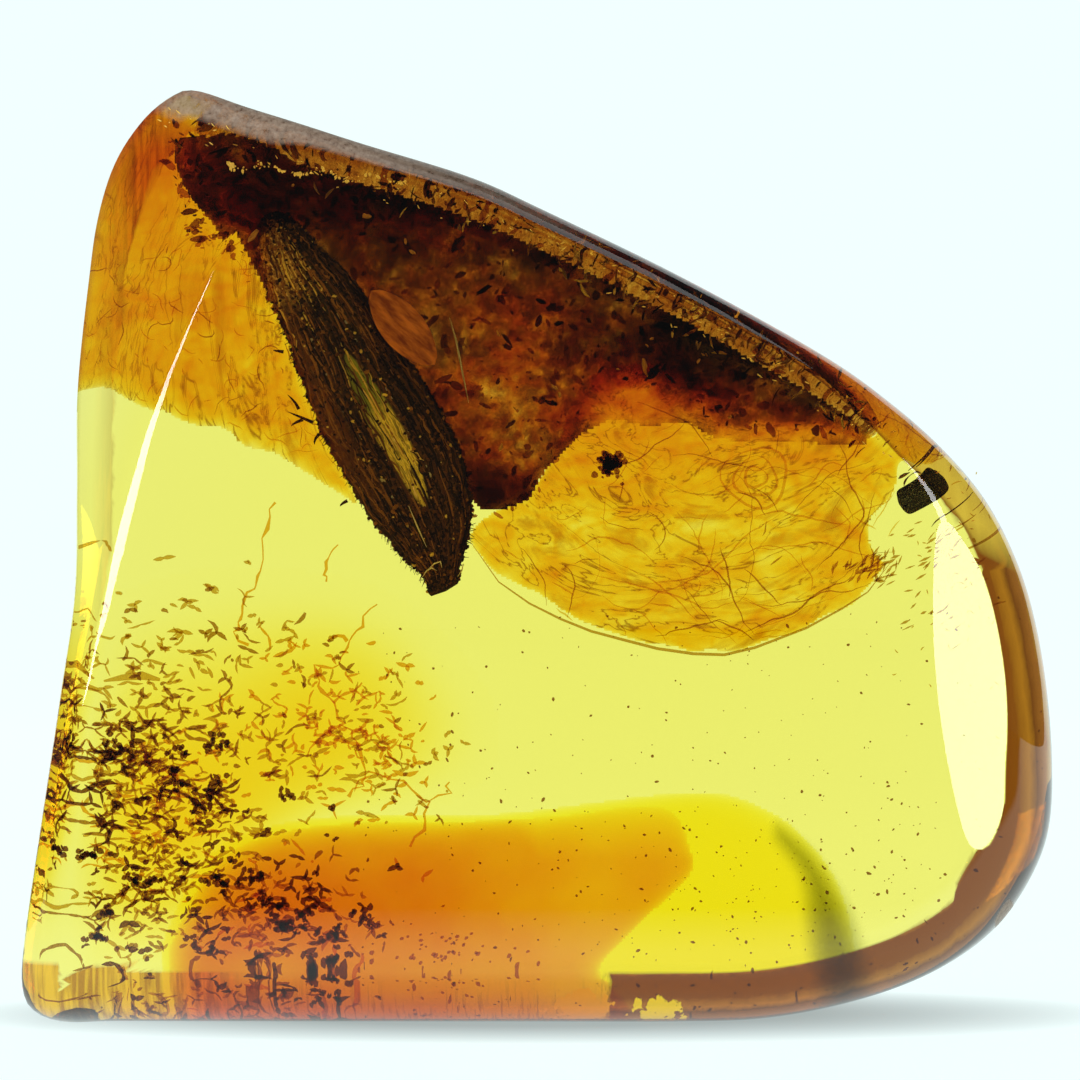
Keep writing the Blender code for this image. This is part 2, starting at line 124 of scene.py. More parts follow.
def rim_rows(loop, table, front):
    """Inset, depth and turn of the rounding at each point of the outline, evened out."""
    middle, rows = Vector(SLAB_MIDDLE), []
    angles, widths, depths = zip(*table)
    corners = [Vector((x, z)) for x, z, _, _ in RIDGE]
    bearings = [bearing(*corner) for corner in corners]
    reaches = [(corner - middle).length for corner in corners]
    _, _, ridge_depths, ridge_turns = zip(*RIDGE)
    for p, way in zip(loop, outward(loop)):
        arm, at = p - middle, bearing(*p)
        degrees = math.degrees(math.atan2(way.y, way.x))
        width = np.interp(degrees, angles, widths)
        row = (width / max(0.35, arm.normalized().dot(way)), np.interp(degrees, angles, depths),
               FULL_TURN)
        if front and bearings[0] <= at <= bearings[-1]:
            row = (arm.length - np.interp(at, bearings, reaches),
                   np.interp(at, bearings, ridge_depths), np.interp(at, bearings, ridge_turns))
        rows.append(row)
    rows = np.array(rows)
    for _ in range(8):
        rows = (np.roll(rows, 1, 0) + 2 * rows + np.roll(rows, -1, 0)) / 4
    return rows


def swelling(x, z):
    (cx, cz), (rx, rz) = SWELL_CENTRE, SWELL_REACH
    return SWELL * (1 - ((x - cx) / rx) ** 2 - ((z - cz) / rz) ** 2)


def start_piece(name):
    """Takes the primitive that was just added as the piece of this name."""
    piece = bpy.context.object
    piece.name = piece.data.name = name
    return piece


def in_edit_mode(piece, *steps):
    """Runs edit-mode steps on a piece, each one a function, with all of it selected."""
    bpy.ops.object.select_all(action="DESELECT")
    piece.select_set(True)
    bpy.context.view_layer.objects.active = piece
    bpy.ops.object.mode_set(mode="EDIT")
    bpy.ops.mesh.select_all(action="SELECT")
    for step in steps:
        step()
    bpy.ops.object.mode_set(mode="OBJECT")


def face_out():
    bpy.ops.mesh.normals_make_consistent(inside=False)


def shaped_ball(name, segments, rings, place):
    """A ball whose points are put where place(segment, ring) says, in millimetres."""
    bpy.ops.object.select_all(action="DESELECT")
    bpy.ops.mesh.primitive_uv_sphere_add(segments=segments, ring_count=rings, radius=1.0)
    piece = start_piece(name)
    for vertex in piece.data.vertices:
        x, y, z = vertex.co
        ring = round(math.acos(max(-1.0, min(1.0, z))) / math.pi * rings)
        segment = round(math.atan2(y, x) / math.tau * segments) % segments
        vertex.co = Vector(place(segment, ring)) * MM
    in_edit_mode(piece, face_out)
    bpy.ops.object.shade_smooth()
    return piece


slab_loop = smooth_loop(SLAB_OUTLINE, SLAB_SEGMENTS)
slab_rims = {-1: rim_rows(slab_loop, FRONT_RIM, True), 1: rim_rows(slab_loop, BACK_RIM, False)}
RIM_STEPS = ARC_STEPS + RIDGE_STEPS
SIDE_RINGS = len(FACE_SHARES) + RIM_STEPS


def crisp_rim(segment, side, share):
    """A point of the rounding before its inner edge is softened: share 0 is the outline, 1 is
    the inner edge, and more than that lies on the face."""
    p, middle = slab_loop[segment], Vector(SLAB_MIDDLE)
    width, depth, turn = slab_rims[side][segment]
    last, climb = math.radians(turn), min(share, 1.0)
    rise = math.sin(last * climb) / math.sin(last)
    inward = (1 - math.cos(last * climb)) / (1 - math.cos(last))
    flat = SIDE_FACE_FLATNESS * (FULL_TURN - turn) / (FULL_TURN - LEAST_TURN)
    rise, inward = (a + (climb - a) * flat for a in (rise, inward))
    inward = width * inward + max(0.0, share - 1.0) * math.hypot(width, depth)
    q = p + (middle - p).normalized() * inward
    out = SLAB_THICKNESS / 2 - depth * (1 - rise) + swelling(q.x, q.y) * rise
    return Vector((q.x, side * out, q.y))


def rim_point(segment, step, side):
    """A point of the softened rounding: step 0 is the outline, the last is on the face."""
    width, depth, _ = slab_rims[side][segment]
    worn = np.interp(slab_loop[segment].y, RIDGE_HEIGHTS, RIDGE_WEAR)
    soft = min(0.5, worn / math.hypot(width, depth))
    if step < ARC_STEPS:
        share = (1 - soft) * step / ARC_STEPS
    else:
        share = 1 - soft + 2 * soft * (step - ARC_STEPS) / RIDGE_STEPS
    reach = min(soft, 0.9 * share)
    spread = [crisp_rim(segment, side, share + reach * k / 4) for k in range(-4, 5)]
    return sum(spread, Vector()) / len(spread)


def slab_point(segment, ring):
    side = -1 if ring <= SIDE_RINGS else 1
    ring = min(ring, 2 * SIDE_RINGS - ring)
    if ring >= len(FACE_SHARES):
        return rim_point(segment, SIDE_RINGS - ring, side)
    x, _, z = rim_point(segment, RIM_STEPS, side)
    share = FACE_SHARES[ring]
    x += (SLAB_MIDDLE[0] - x) * share
    z += (SLAB_MIDDLE[1] - z) * share
    return x, side * (SLAB_THICKNESS / 2 + swelling(x, z)), z


amber = shaped_ball("clear_amber", SLAB_SEGMENTS, 2 * SIDE_RINGS, slab_point)


def cut_flat(place, normal):
    """An edit-mode step that cuts off what lies beyond a plane and keeps the cut's rim crisp."""

    def step():
        bpy.ops.mesh.select_all(action="SELECT")
        bpy.ops.mesh.bisect(
            plane_co=Vector(place) * MM, plane_no=normal, use_fill=True, clear_outer=True,
            threshold=1e-7,
        )
        bpy.ops.mesh.mark_sharp()

    return step


def on_front(x, z):
    return Vector((x, -SLAB_THICKNESS / 2 - swelling(x, z), z))


facet_line = (on_front(*FACET_FOOT) - on_front(*FACET_TOP)).normalized()
facet_turn = math.radians(FACET_TURN)
facet_way = Vector((0, -math.cos(facet_turn), 0)) + math.sin(facet_turn) * Vector((1, 0, 0))
facet_way = (facet_way - facet_line * facet_way.dot(facet_line)).normalized()
in_edit_mode(
    amber,
    cut_flat((0, 0, 0), (0, 0, -1)),
    cut_flat(on_front(*FACET_TOP), facet_way),
)

# How far up the rounding each point lies, for the painted shade on the rim: 0 on the faces, 1 on
# the outline. Its widths are the greatest ones on the front, high up, low down and low on the
# right, and the one on the back.
HIGH_SHADE_WIDTH = 0.8
LOW_SHADE_WIDTH = 1.25
LOW_RIGHT_SHADE_WIDTH = 1.5
BACK_SHADE_WIDTH = 0.45
LOW_SHADE_TOP = 9.0
LOW_RIGHT_START = 8.0
rind = amber.data.attributes.new("rind", "FLOAT", "POINT")
loop_xz = np.array([tuple(p) for p in slab_loop])
for vertex in amber.data.vertices:
    x, y, z = vertex.co / MM
    nearest = int(np.argmin(np.hypot(loop_xz[:, 0] - x, loop_xz[:, 1] - z)))
    widest = HIGH_SHADE_WIDTH
    if z < LOW_SHADE_TOP:
        widest = LOW_RIGHT_SHADE_WIDTH if x > LOW_RIGHT_START else LOW_SHADE_WIDTH
    width = min(widest, slab_rims[-1][nearest][0]) if y < 0.5 else BACK_SHADE_WIDTH
    gap = math.hypot(*(loop_xz[nearest] - (x, z)))
    rind.data[vertex.index].value = max(0.0, 1.0 - gap / max(width, 0.3))
facet = max(amber.data.polygons, key=lambda face: face.normal.dot(facet_way) + face.area * 1e4)
for index in facet.vertices:
    rind.data[index].value = 0.0


class Num:
    """A number that changes over a surface. Sums on it add Math nodes to its material."""

    def __init__(self, tree, socket):
        self.tree, self.socket = tree, socket

    def sum(self, operation, *values, clamp=False):
        node = self.tree.nodes.new("ShaderNodeMath")
        node.operation = operation
        node.use_clamp = clamp
        for slot, value in zip(node.inputs, values):
            if isinstance(value, Num):
                self.tree.links.new(value.socket, slot)
            else:
                slot.default_value = value
        return Num(self.tree, node.outputs[0])

    def __add__(self, other):
        return self.sum("ADD", self, other)

    def __sub__(self, other):
        return self.sum("SUBTRACT", self, other)

    def __rsub__(self, other):
        return self.sum("SUBTRACT", other, self)

    def __mul__(self, other):
        return self.sum("MULTIPLY", self, other)

    def __truediv__(self, other):
        return self.sum("DIVIDE", self, other)

    def __pow__(self, other):
        return self.sum("POWER", self, other)

    __radd__, __rmul__ = __add__, __mul__

    def size(self):
        """The number without its sign."""
        return self.sum("ABSOLUTE", self)

    def past(self, edge, soft):
        """0 below the edge, rising to 1 over the soft width beyond it."""
        return self.sum("DIVIDE", self - edge, soft, clamp=True)

    def near(self, place, reach):
        """1 at the place, falling to 0 at this reach on both sides of it."""
        return self.sum("SUBTRACT", 1.0, (self - place).size() / reach, clamp=True)


class Finish:
    """A material with one Principled shader, and one way to add any other node."""

    def __init__(self, name, **sockets):
        self.material = bpy.data.materials.new(name)
        self.material.use_nodes = True
        self.tree = self.material.node_tree
        self.shader = self.tree.nodes["Principled BSDF"]
        self.out = self.tree.nodes["Material Output"]
        self.wear(**sockets)

    def give(self, node, values):
        for key, value in values.items():
            if isinstance(value, Num):
                value = value.socket
            if isinstance(value, bpy.types.NodeSocket):
                self.tree.links.new(value, node.inputs[key])
            else:
                node.inputs[key].default_value = value

    def wear(self, **sockets):
        """Gives the Principled shader its sockets, by name."""
        self.give(self.shader, {key.replace("_", " "): value for key, value in sockets.items()})

    def node(self, kind, settings=None, values=None, output=0):
        """Adds a node, sets it and then its sockets, and gives back one of its outputs."""
        node = self.tree.nodes.new("ShaderNode" + kind)
        for key, value in (settings or {}).items():
            if key == "stops":
                stops = node.color_ramp.elements
                for _ in range(len(value) - 2):
                    stops.new(0.5)
                for stop, (place, colour) in zip(stops, value):
                    stop.position, stop.color = place, (*colour, 1.0)
            else:
                setattr(node, key, value)
        self.give(node, values or {})
        socket = node.outputs[output]
        return Num(self.tree, socket) if socket.type == "VALUE" else socket

    def place(self, scale=(1.0, 1.0, 1.0), turn=(0.0, 0.0, 0.0)):
        """Object coordinates in millimetres, turned and then scaled."""
        where = self.node("TexCoord", output="Object")
        where = self.node("Mapping", {}, {"Vector": where, "Scale": (1000.0,) * 3})
        where = self.node("Mapping", {}, {"Vector": where, "Rotation": turn})
        return self.node("Mapping", {}, {"Vector": where, "Scale": scale})

    def grain(self, where, size, detail=4.0, rough=0.55, warp=0.0):
        """Cloudy noise whose lumps are about size millimetres."""
        values = {"Vector": where, "Scale": 1 / size, "Detail": detail, "Roughness": rough,
                  "Distortion": warp}
        return self.node("TexNoise", {}, values, "Fac")

    def mix(self, share, first, second):
        """The first colour where the share is 0, and the second where it is 1."""
        values = {0: share, 6: first, 7: second}
        return self.node("Mix", {"data_type": "RGBA"}, values, 2)

    def ramp(self, share, *stops):
        return self.node("ValToRGB", {"stops": stops}, {"Fac": share}, "Color")

    def bump(self, height, depth):
        return self.node("Bump", {}, {"Height": height, "Distance": depth * MM}, "Normal")

    def soak(self, colour, density):
        """Makes the piece see-through and fills it with plain absorption."""
        self.wear(Base_Color=(1, 1, 1, 1), Transmission_Weight=1.0, Roughness=0.0)
        values = {"Color": (*colour, 1.0), "Density": density}
        self.give(self.out, {"Volume": self.node("VolumeAbsorption", {}, values)})


# The polished amber absorbs blue light most. Its rounded rim is tinted with painted shade, brown
# at the right, and gold and orange below, where it is streaked. Places are x and z, and the edge
# starts are heights over the slope.
AMBER_IOR = 1.54
AMBER_STAIN = (0.998, 0.935, 0.03)
AMBER_DENSITY = 250.0
BROWN_RIM_START = 1.25
ORANGE_RIM_START = -6.4
CLEAR_LEFT_END = -7.9
BOTTOM_STRIP_TOP = 1.25
EDGE_SLOPE = 0.475
DARK_EDGE_START = 13.2
GROUND_EDGE_START = 14.2
PALE_CHIP = (9.12, 2.05)
CLEAR = (1.0, 1.0, 1.0, 1.0)
polish = Finish("amber_polish", IOR=AMBER_IOR)
polish.soak(AMBER_STAIN, AMBER_DENSITY)
where = polish.place()
x, z = (polish.node("SeparateXYZ", {}, {"Vector": where}, k) for k in (0, 2))
# How far up the rounding a point lies, which sets where the painted rim shade falls
up_rim = polish.node("Attribute", {"attribute_name": "rind"}, {}, "Fac")
ragged = polish.grain(polish.place(scale=(1.0, 0.3, 0.3)), 0.25, 3.0, 0.6)
layers = up_rim + (ragged - 0.5) * 0.12
# Painted shade on the rim: brown bands at the right, with gold and orange streaks below
brown = polish.ramp(
    layers,
    (0.0, (0.2, 0.03, 0.003)), (0.08, (0.06, 0.005, 0.0005)), (0.45, (0.07, 0.007, 0.0005)),
    (0.6, (0.2, 0.035, 0.002)), (0.7, (0.04, 0.004, 0.0003)), (0.85, (0.15, 0.02, 0.002)),
    (1.0, (0.5, 0.15, 0.01)),
)
stripe = polish.grain(polish.place(scale=(1.0, 0.08, 0.08)), 0.16, 2.0, 0.6).past(0.42, 0.2)
orange = polish.mix(stripe, (0.28, 0.07, 0.002, 1.0), (0.9, 0.36, 0.012, 1.0))
line = polish.grain(polish.place(scale=(1.0, 0.05, 0.05)), 0.07, 2.0, 0.6).past(0.36, 0.1)
gold = polish.mix(line, (0.36, 0.18, 0.004, 1.0), (0.68, 0.42, 0.008, 1.0))
gold = polish.mix(up_rim.past(0.0, 0.6), (1.0, 0.95, 0.8, 1.0), gold)
right_part = (x + (ragged - 0.5) * 0.6).past(BROWN_RIM_START, 0.15)
low_rim = polish.mix(x.past(ORANGE_RIM_START, 0.8), orange, gold)
rim_tint = polish.mix(right_part, low_rim, brown)
jagged = (ragged - 0.5) * 1.6
chips = ((x + jagged).near(0.86, 0.8) * (z + jagged * 0.3).near(0.46, 0.6)).past(0.3, 0.05)
chips = chips + ((x - jagged).near(2.3, 0.8) * (z + jagged * 0.3).near(0.2, 0.8)).past(0.35, 0.05)
rim_tint = polish.mix(chips, rim_tint, (0.85, 0.55, 0.07, 1.0))
clear_left = (CLEAR_LEFT_END - x).past(0.0, 0.8) * z.past(BOTTOM_STRIP_TOP, 0.1)
slope = x * EDGE_SLOPE + z
top_edge = slope.past(DARK_EDGE_START, 0.6) * (x + 7.6).past(0.0, 0.8)
dark_edge = polish.mix(ragged, (0.34, 0.13, 0.02, 1.0), (0.75, 0.4, 0.1, 1.0))
rim_tint = polish.mix(top_edge * up_rim.past(0.05, 0.1), rim_tint, dark_edge)
rim_tint = polish.mix(clear_left, rim_tint, CLEAR)
whole_tint = polish.mix(up_rim.past(0.01, 0.04), CLEAR, rim_tint)
polish.wear(Base_Color=whole_tint)
# The ground strip along the upper edge isn't polished, and a pale chip sits low on the right
frost_grain = polish.grain(where, 0.12, 4.0, 0.7)
frost_colour = polish.ramp(frost_grain, (0.3, (0.2, 0.12, 0.07)), (0.7, (0.5, 0.38, 0.28)))
frost = polish.node("BsdfPrincipled", {}, {"Base Color": frost_colour, "Roughness": 0.7})
ground = up_rim.past(0.25, 0.2) * slope.past(GROUND_EDGE_START, 0.3) * (1.2 - x).past(0.0, 5.0)
ground = ground * frost_grain.past(0.2, 0.2)
pale_chip = (x.near(PALE_CHIP[0], 0.5) * z.near(PALE_CHIP[1], 0.8)).past(0.42, 0.08)
unpolished = (ground + pale_chip * 0.8) * 0.85
both = polish.node("MixShader", {}, {0: unpolished, 1: polish.shader.outputs[0], 2: frost})
polish.give(polish.out, {"Surface": both})
amber.data.materials.clear()
amber.data.materials.append(polish.material)
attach(amber, "root")
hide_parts("amber_front", "amber_back")

# Older flows of resin lie inside the clear one. They hold more stain, so they look deeper gold
# than what is round them. Each is a padded layer that thins out to nothing at its edges. The
# first two are a lens under the bark debris, and a flow at the left of the insect.
GOLD_LENS_OUTLINE = [
    (-1.4, 9.5), (-1.05, 8.95), (-0.75, 8.7), (-0.45, 8.55), (0.0, 8.35), (0.5, 8.0),
    (1.0, 7.75), (1.6, 7.55), (2.1, 7.4), (2.6, 7.35), (3.0, 7.2), (3.25, 7.28), (3.9, 7.25),
    (4.4, 7.45), (5.0, 7.6), (5.6, 7.95), (6.1, 8.15), (6.5, 8.6), (6.75, 8.95), (6.5, 9.3),
    (6.45, 9.8), (6.9, 10.3), (7.0, 10.9), (6.6, 11.4), (5.6, 12.0), (4.3, 12.2), (3.4, 12.5),
    (2.8, 12.8), (1.7, 12.9), (0.8, 12.5), (0.3, 11.3), (-0.2, 10.4), (-1.0, 9.95),
]
LEFT_GOLD_OUTLINE = [
    (-8.85, 13.0), (-8.5, 12.3), (-7.8, 12.2), (-7.3, 11.9), (-6.8, 11.66), (-6.2, 11.6),
    (-5.8, 11.26), (-5.2, 11.1), (-4.8, 10.86), (-3.9, 10.3), (-3.5, 10.1), (-3.9, 11.2),
    (-4.6, 12.8), (-5.0, 14.2), (-5.2, 15.4), (-5.6, 16.6), (-6.2, 17.5), (-7.0, 17.8),
    (-7.8, 17.3), (-8.3, 16.5), (-8.6, 15.6), (-8.8, 14.2),
]
GOLD_DENSITY = 4800.0
# The lens's folds run round this place, which lies above its lower edge
FOLDS_MIDDLE = (2.9, 13.5)


def depth_inside(loop, x, z):
    """How far each point lies inside a closed line, or 0 where it lies outside."""
    a = np.array([tuple(p) for p in loop])
    ab = np.roll(a, -1, 0) - a
    p = np.stack([x, z], -1)[:, None]
    share = np.clip(((p - a) * ab).sum(-1) / (ab**2).sum(-1), 0.0, 1.0)
    away = np.linalg.norm(p - a - ab * share[..., None], axis=-1).min(1)
    spans = (a[:, 1] > z[:, None]) != (a[:, 1] + ab[:, 1] > z[:, None])
    slope = ab[:, 0] / np.where(ab[:, 1] == 0, 1e-9, ab[:, 1])
    crossed = spans & (x[:, None] < a[:, 0] + (z[:, None] - a[:, 1]) * slope)
    return np.where(crossed.sum(1) % 2 == 1, away, 0.0)


def points_of(mesh):
    """The places of a mesh's points, one row each."""
    flat = np.empty(len(mesh.vertices) * 3, np.float32)
    mesh.vertices.foreach_get("co", flat)
    return flat.reshape(-1, 3)


def sealed_layer(name, outline, step, halves):
    """A closed layer inside an outline. halves(x, z, depth) gives its front and back in y."""
    loop = smooth_loop(outline, 120)
    (x0, z0), (x1, z1) = np.min([tuple(p) for p in loop], 0), np.max([tuple(p) for p in loop], 0)
    across, up = round((x1 - x0) / step), round((z1 - z0) / step)
    bpy.ops.object.select_all(action="DESELECT")
    bpy.ops.mesh.primitive_grid_add(x_subdivisions=across, y_subdivisions=up, size=1.0)
    piece = start_piece(name)
    mesh = piece.data
    flat = points_of(mesh)
    x, z = x0 + (flat[:, 0] + 0.5) * (x1 - x0), z0 + (flat[:, 1] + 0.5) * (z1 - z0)
    inside = depth_inside(loop, x, z)
    mesh.vertices.foreach_set("co", np.stack([x, 0 * x, z], -1).astype(np.float32).ravel())

    def drop_outside():
        bpy.ops.mesh.select_all(action="DESELECT")
        bpy.ops.object.mode_set(mode="OBJECT")
        mesh.vertices.foreach_set("select", inside <= 0.0)
        bpy.ops.object.mode_set(mode="EDIT")
        bpy.ops.mesh.delete(type="VERT")
        bpy.ops.mesh.select_all(action="SELECT")
        bpy.ops.mesh.extrude_region_move()

    bpy.context.scene.tool_settings.mesh_select_mode = (True, False, False)
    in_edit_mode(piece, drop_outside)
    back = np.empty(len(mesh.vertices), bool)
    mesh.vertices.foreach_get("select", back)
    flat = points_of(mesh)
    inside = depth_inside(loop, flat[:, 0], flat[:, 2])
    front_y, back_y = halves(flat[:, 0], flat[:, 2], inside)
    flat[:, 1] = np.where(back, np.maximum(back_y, front_y + 0.01), front_y)
    mesh.vertices.foreach_set("co", (flat * MM).ravel())
    in_edit_mode(piece, face_out)
    bpy.ops.object.shade_smooth()
    return piece


def lumps(x, z, size, seed, octaves=4):
    """Cloudy noise from about -1 to 1 at each point, with lumps of about size millimetres."""
    return np.array([
        noise.fractal(Vector((a / size, seed, b / size)), 0.9, 2.0, octaves)
        for a, b in zip(x.tolist(), z.tolist())
    ])


def spot(x, z, cx, cz, rx, rz):
    """A soft round patch: 1 at its middle, falling away over its two reaches."""
    return np.exp(-(((x - cx) / rx) ** 2) - ((z - cz) / rz) ** 2)


def folds(x, z, size, seed):
    """Sharp folds like a crumpled sheet's: 1 along a fold, falling quickly to 0 beside it."""
    bent_x = x + 0.5 * size * lumps(x, z, size * 1.5, seed + 0.5, 3)
    return np.clip(1 - np.abs(lumps(bent_x * 0.6, z, size, seed, 2)) * 7, 0.0, 1.0)


def lens_halves(x, z, depth):
    rolling = 0.9 + 0.5 * lumps(x * 0.7, z, 0.9, 3.0, 3) + 0.3 * lumps(x * 0.6, z, 0.3, 4.0)
    rolling += 0.45 * folds(x, z, 1.1, 31.0) + 0.35 * folds(x, z, 0.5, 37.0)
    rolling += 0.5 * spot(x, z, 4.2, 11.2, 1.6, 0.7) + 0.7 * spot(x, z, 6.6, 8.8, 0.35, 0.3)
    rolling += 1.1 * np.clip((z - 9.9) / 2.0, 0.0, 1.0) * np.clip((5.5 - x) / 3.0, 0.4, 1.0)
    half = 0.38 * (1 - np.exp(-depth / 0.08)) * np.clip(rolling, 0.25, 2.4)
    return -half, half


def left_halves(x, z, depth):
    rolling = 1 + 0.3 * lumps(x, z, 0.9, 5.0) + 0.25 * lumps(x, z, 0.25, 6.0)
    rolling += 0.9 * spot(x, z, -7.3, 17.2, 1.3, 1.3) + 0.25 * folds(x, z, 0.7, 41.0)
    half = 0.62 * (1 - np.exp(-depth / 0.25)) * np.clip(rolling, 0.2, 2.2)
    return -half, half


for name, outline, halves, stain in (
    ("gold_lens", GOLD_LENS_OUTLINE, lens_halves, (0.973, 0.85, 0.0)),
    ("left_gold_flow", LEFT_GOLD_OUTLINE, left_halves, (0.97, 0.84, 0.0)),
):
    flow = sealed_layer(name + "_stain", outline, 0.05, halves)
    stained = Finish(name + "_colour", IOR=1.0)
    stained.soak(stain, GOLD_DENSITY)
    where = stained.place()
    x, z = (stained.node("SeparateXYZ", {}, {"Vector": where}, k) for k in (0, 2))
    aside, under = x - FOLDS_MIDDLE[0], FOLDS_MIDDLE[1] - z
    reach = (aside ** 2.0 + under ** 2.0) ** 0.5
    sweep = aside.sum("ARCTAN2", aside, under)
    swept = stained.node("CombineXYZ", {}, {"X": reach * 1.5, "Y": sweep * 2.2})
    sheet_folds = stained.grain(swept, 1.0, 4.0, 0.6, 0.9)
    stained.wear(Base_Color=stained.ramp(
        sheet_folds, (0.34, (0.72, 0.55, 0.3)), (0.44, (1.0, 0.97, 0.9)),
        (0.485, (0.95, 0.9, 0.75)), (0.497, (0.42, 0.26, 0.06)), (0.51, (0.95, 0.88, 0.7)),
        (0.6, (1.0, 1.0, 1.0)), (0.7, (0.8, 0.64, 0.35)),
    ))
    flow.data.materials.append(stained.material)
    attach(flow, "root")
    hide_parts(name)


def draw_strokes(name, finishes, strokes):
    """Thin closed threads in one mesh: each is a finish's number and its (place, half-width)."""
    data = bpy.data.curves.new(name, "CURVE")
    data.dimensions = "3D"
    data.bevel_depth = MM
    data.bevel_resolution = 0
    data.use_fill_caps = True
    for finish in finishes:
        data.materials.append(finish.material)
    for index, spots in strokes:
        line = data.splines.new("POLY")
        line.points.add(len(spots) - 1)
        for point, (place, half) in zip(line.points, spots):
            point.co = (*(Vector(place) * MM), 1.0)
            point.radius = half
        line.material_index = index
    bpy.ops.object.select_all(action="DESELECT")
    drawn = bpy.data.objects.new(name, data)
    bpy.context.scene.collection.objects.link(drawn)
    drawn.select_set(True)
    bpy.context.view_layer.objects.active = drawn
    bpy.ops.object.convert(target="MESH")
    piece = start_piece(name)
    in_edit_mode(piece, face_out)
    bpy.ops.object.shade_smooth()
    return piece


def plain(name, colour, roughness=0.8):
    return Finish(name, Base_Color=(*colour, 1.0), Roughness=roughness, IOR=1.2)


def stain(name, colour):
    """A thin clear thing soaked with resin, which only stains the light that goes through."""
    return Finish(
        name, Base_Color=(*colour, 1.0), Transmission_Weight=1.0, Roughness=0.0, IOR=1.0
    )


def tapered(points, half, both_ends=True):
    """Gives a thread's points a half-width that thins out towards its ends."""
    last = len(points) - 1
    spots = []
    for i, p in enumerate(points):
        share = i / last
        thin = math.sin(math.pi * share) ** 0.6 if both_ends else (1 - share) ** 0.6
        spots.append((p, max(0.004, half * thin)))
    return spots


# The skin between the flows of resin crinkled as it dried, before the next flow sealed it. Its
# creases show as thin gold-brown threads, long ones along the lens and short ones across. Each
# is a clear thread that only stains the light.
CRINKLE_COUNT = 85
LONG_FOLDS = 40
LEFT_CRINKLE_COUNT = 150
DASH_COUNT = 34
BROWN_MARK_COUNT = 60
CREASE_STEP = 0.1
LEFT_CREASE_STEP = 0.07
rng = random.Random(7)
crease_brown = stain("crease_brown", (0.52, 0.33, 0.08))
crease_gold = stain("crease_gold", (0.8, 0.6, 0.2))
crinkles = []
lens_loop = smooth_loop([
    (-1.4, 9.5), (-0.8, 8.6), (0.4, 7.9), (1.6, 7.5), (3.0, 7.25), (4.0, 7.3), (5.2, 7.75),
    (6.4, 8.5), (6.9, 9.0), (7.1, 9.9), (6.8, 10.8), (5.8, 11.6), (3.6, 11.6), (2.2, 12.2),
    (1.2, 12.0), (0.4, 10.6), (-0.4, 9.9),
], 80)
while len(crinkles) < CRINKLE_COUNT:
    x, z = rng.uniform(-1.4, 7.2), rng.uniform(7.2, 12.2)
    if depth_inside(lens_loop, np.array([x]), np.array([z]))[0] < 0.08:
        continue
    # The long folds run the same way as the lower edge
    long_fold = len(crinkles) < LONG_FOLDS
    away = math.atan2(z - FOLDS_MIDDLE[1], x - FOLDS_MIDDLE[0])
    heading = away + math.pi / 2 + rng.gauss(0.0, 0.25)
    if not long_fold:
        heading += rng.gauss(0.0, 0.7)
    curl = rng.gauss(0.0, 0.12 if long_fold else 0.3)
    points, y = [], rng.uniform(-0.5, 0.5)
    for _ in range(rng.randint(14, 34) if long_fold else rng.randint(4, 11)):
        points.append((x, y, z))
        heading += curl * 0.3 + rng.gauss(0.0, 0.2)
        x += CREASE_STEP * math.cos(heading)
        z += CREASE_STEP * math.sin(heading)
        y += rng.gauss(0.0, 0.02)
        if depth_inside(lens_loop, np.array([x]), np.array([z]))[0] <= 0.03:
            break
    if len(points) > 3:
        crinkles.append((int(rng.random() < 0.6), tapered(points, rng.uniform(0.006, 0.02))))
for radius in (0.2, 0.38, 0.58):
    ring = []
    for k in range(22):
        a = 0.3 * k + radius * 4
        away = radius * (1 + 0.1 * math.sin(3 * a + radius * 9))
        ring.append((4.2 + 1.1 * away * math.cos(a), -0.5, 10.66 + away * math.sin(a)))
    crinkles.append((1, tapered(ring, 0.03)))
# Dark dashes slant past the lens's right end, and a brown mark lies on its lower right corner
for _ in range(DASH_COUNT):
    x, z, lean = rng.gauss(7.5, 0.45), rng.gauss(8.9, 0.75), 0.55 + rng.gauss(0.0, 0.2)
    long = rng.uniform(0.1, 0.3)
    dash = [
        (x + long * s * math.cos(lean), -0.8, z + long * s * math.sin(lean)) for s in (0, 0.5, 1)
    ]
    if x < 8.5 and z < 10.3:
        crinkles.append((0, tapered(dash, rng.uniform(0.012, 0.03))))
for _ in range(BROWN_MARK_COUNT):
    x, z, lean = rng.gauss(6.4, 0.3), rng.gauss(8.85, 0.17), 0.7 + rng.gauss(0.0, 0.4)
    dash = [
        (x + 0.2 * s * math.cos(lean), -0.7, z + 0.2 * s * math.sin(lean)) for s in (0, 0.5, 1)
    ]
    crinkles.append((0, tapered(dash, rng.uniform(0.015, 0.035))))
left_loop = smooth_loop(LEFT_GOLD_OUTLINE, 80)
for _ in range(LEFT_CRINKLE_COUNT):
    x, z, y = rng.uniform(-8.3, -4.0), rng.uniform(10.8, 15.2), rng.uniform(-0.6, 0.6)
    heading, curl, points = rng.uniform(0.0, math.tau), rng.gauss(0.0, 0.6), []
    for _ in range(rng.randint(3, 9)):
        points.append((x, y, z))
        heading += curl * 0.4 + rng.gauss(0.0, 0.3)
        x += LEFT_CREASE_STEP * math.cos(heading)
        z += LEFT_CREASE_STEP * math.sin(heading)
    xs, zs = np.array([p[0] for p in points]), np.array([p[2] for p in points])
    if depth_inside(left_loop, xs, zs).min() > 0.1:
        crinkles.append((int(rng.random() < 0.7), tapered(points, rng.uniform(0.006, 0.016))))
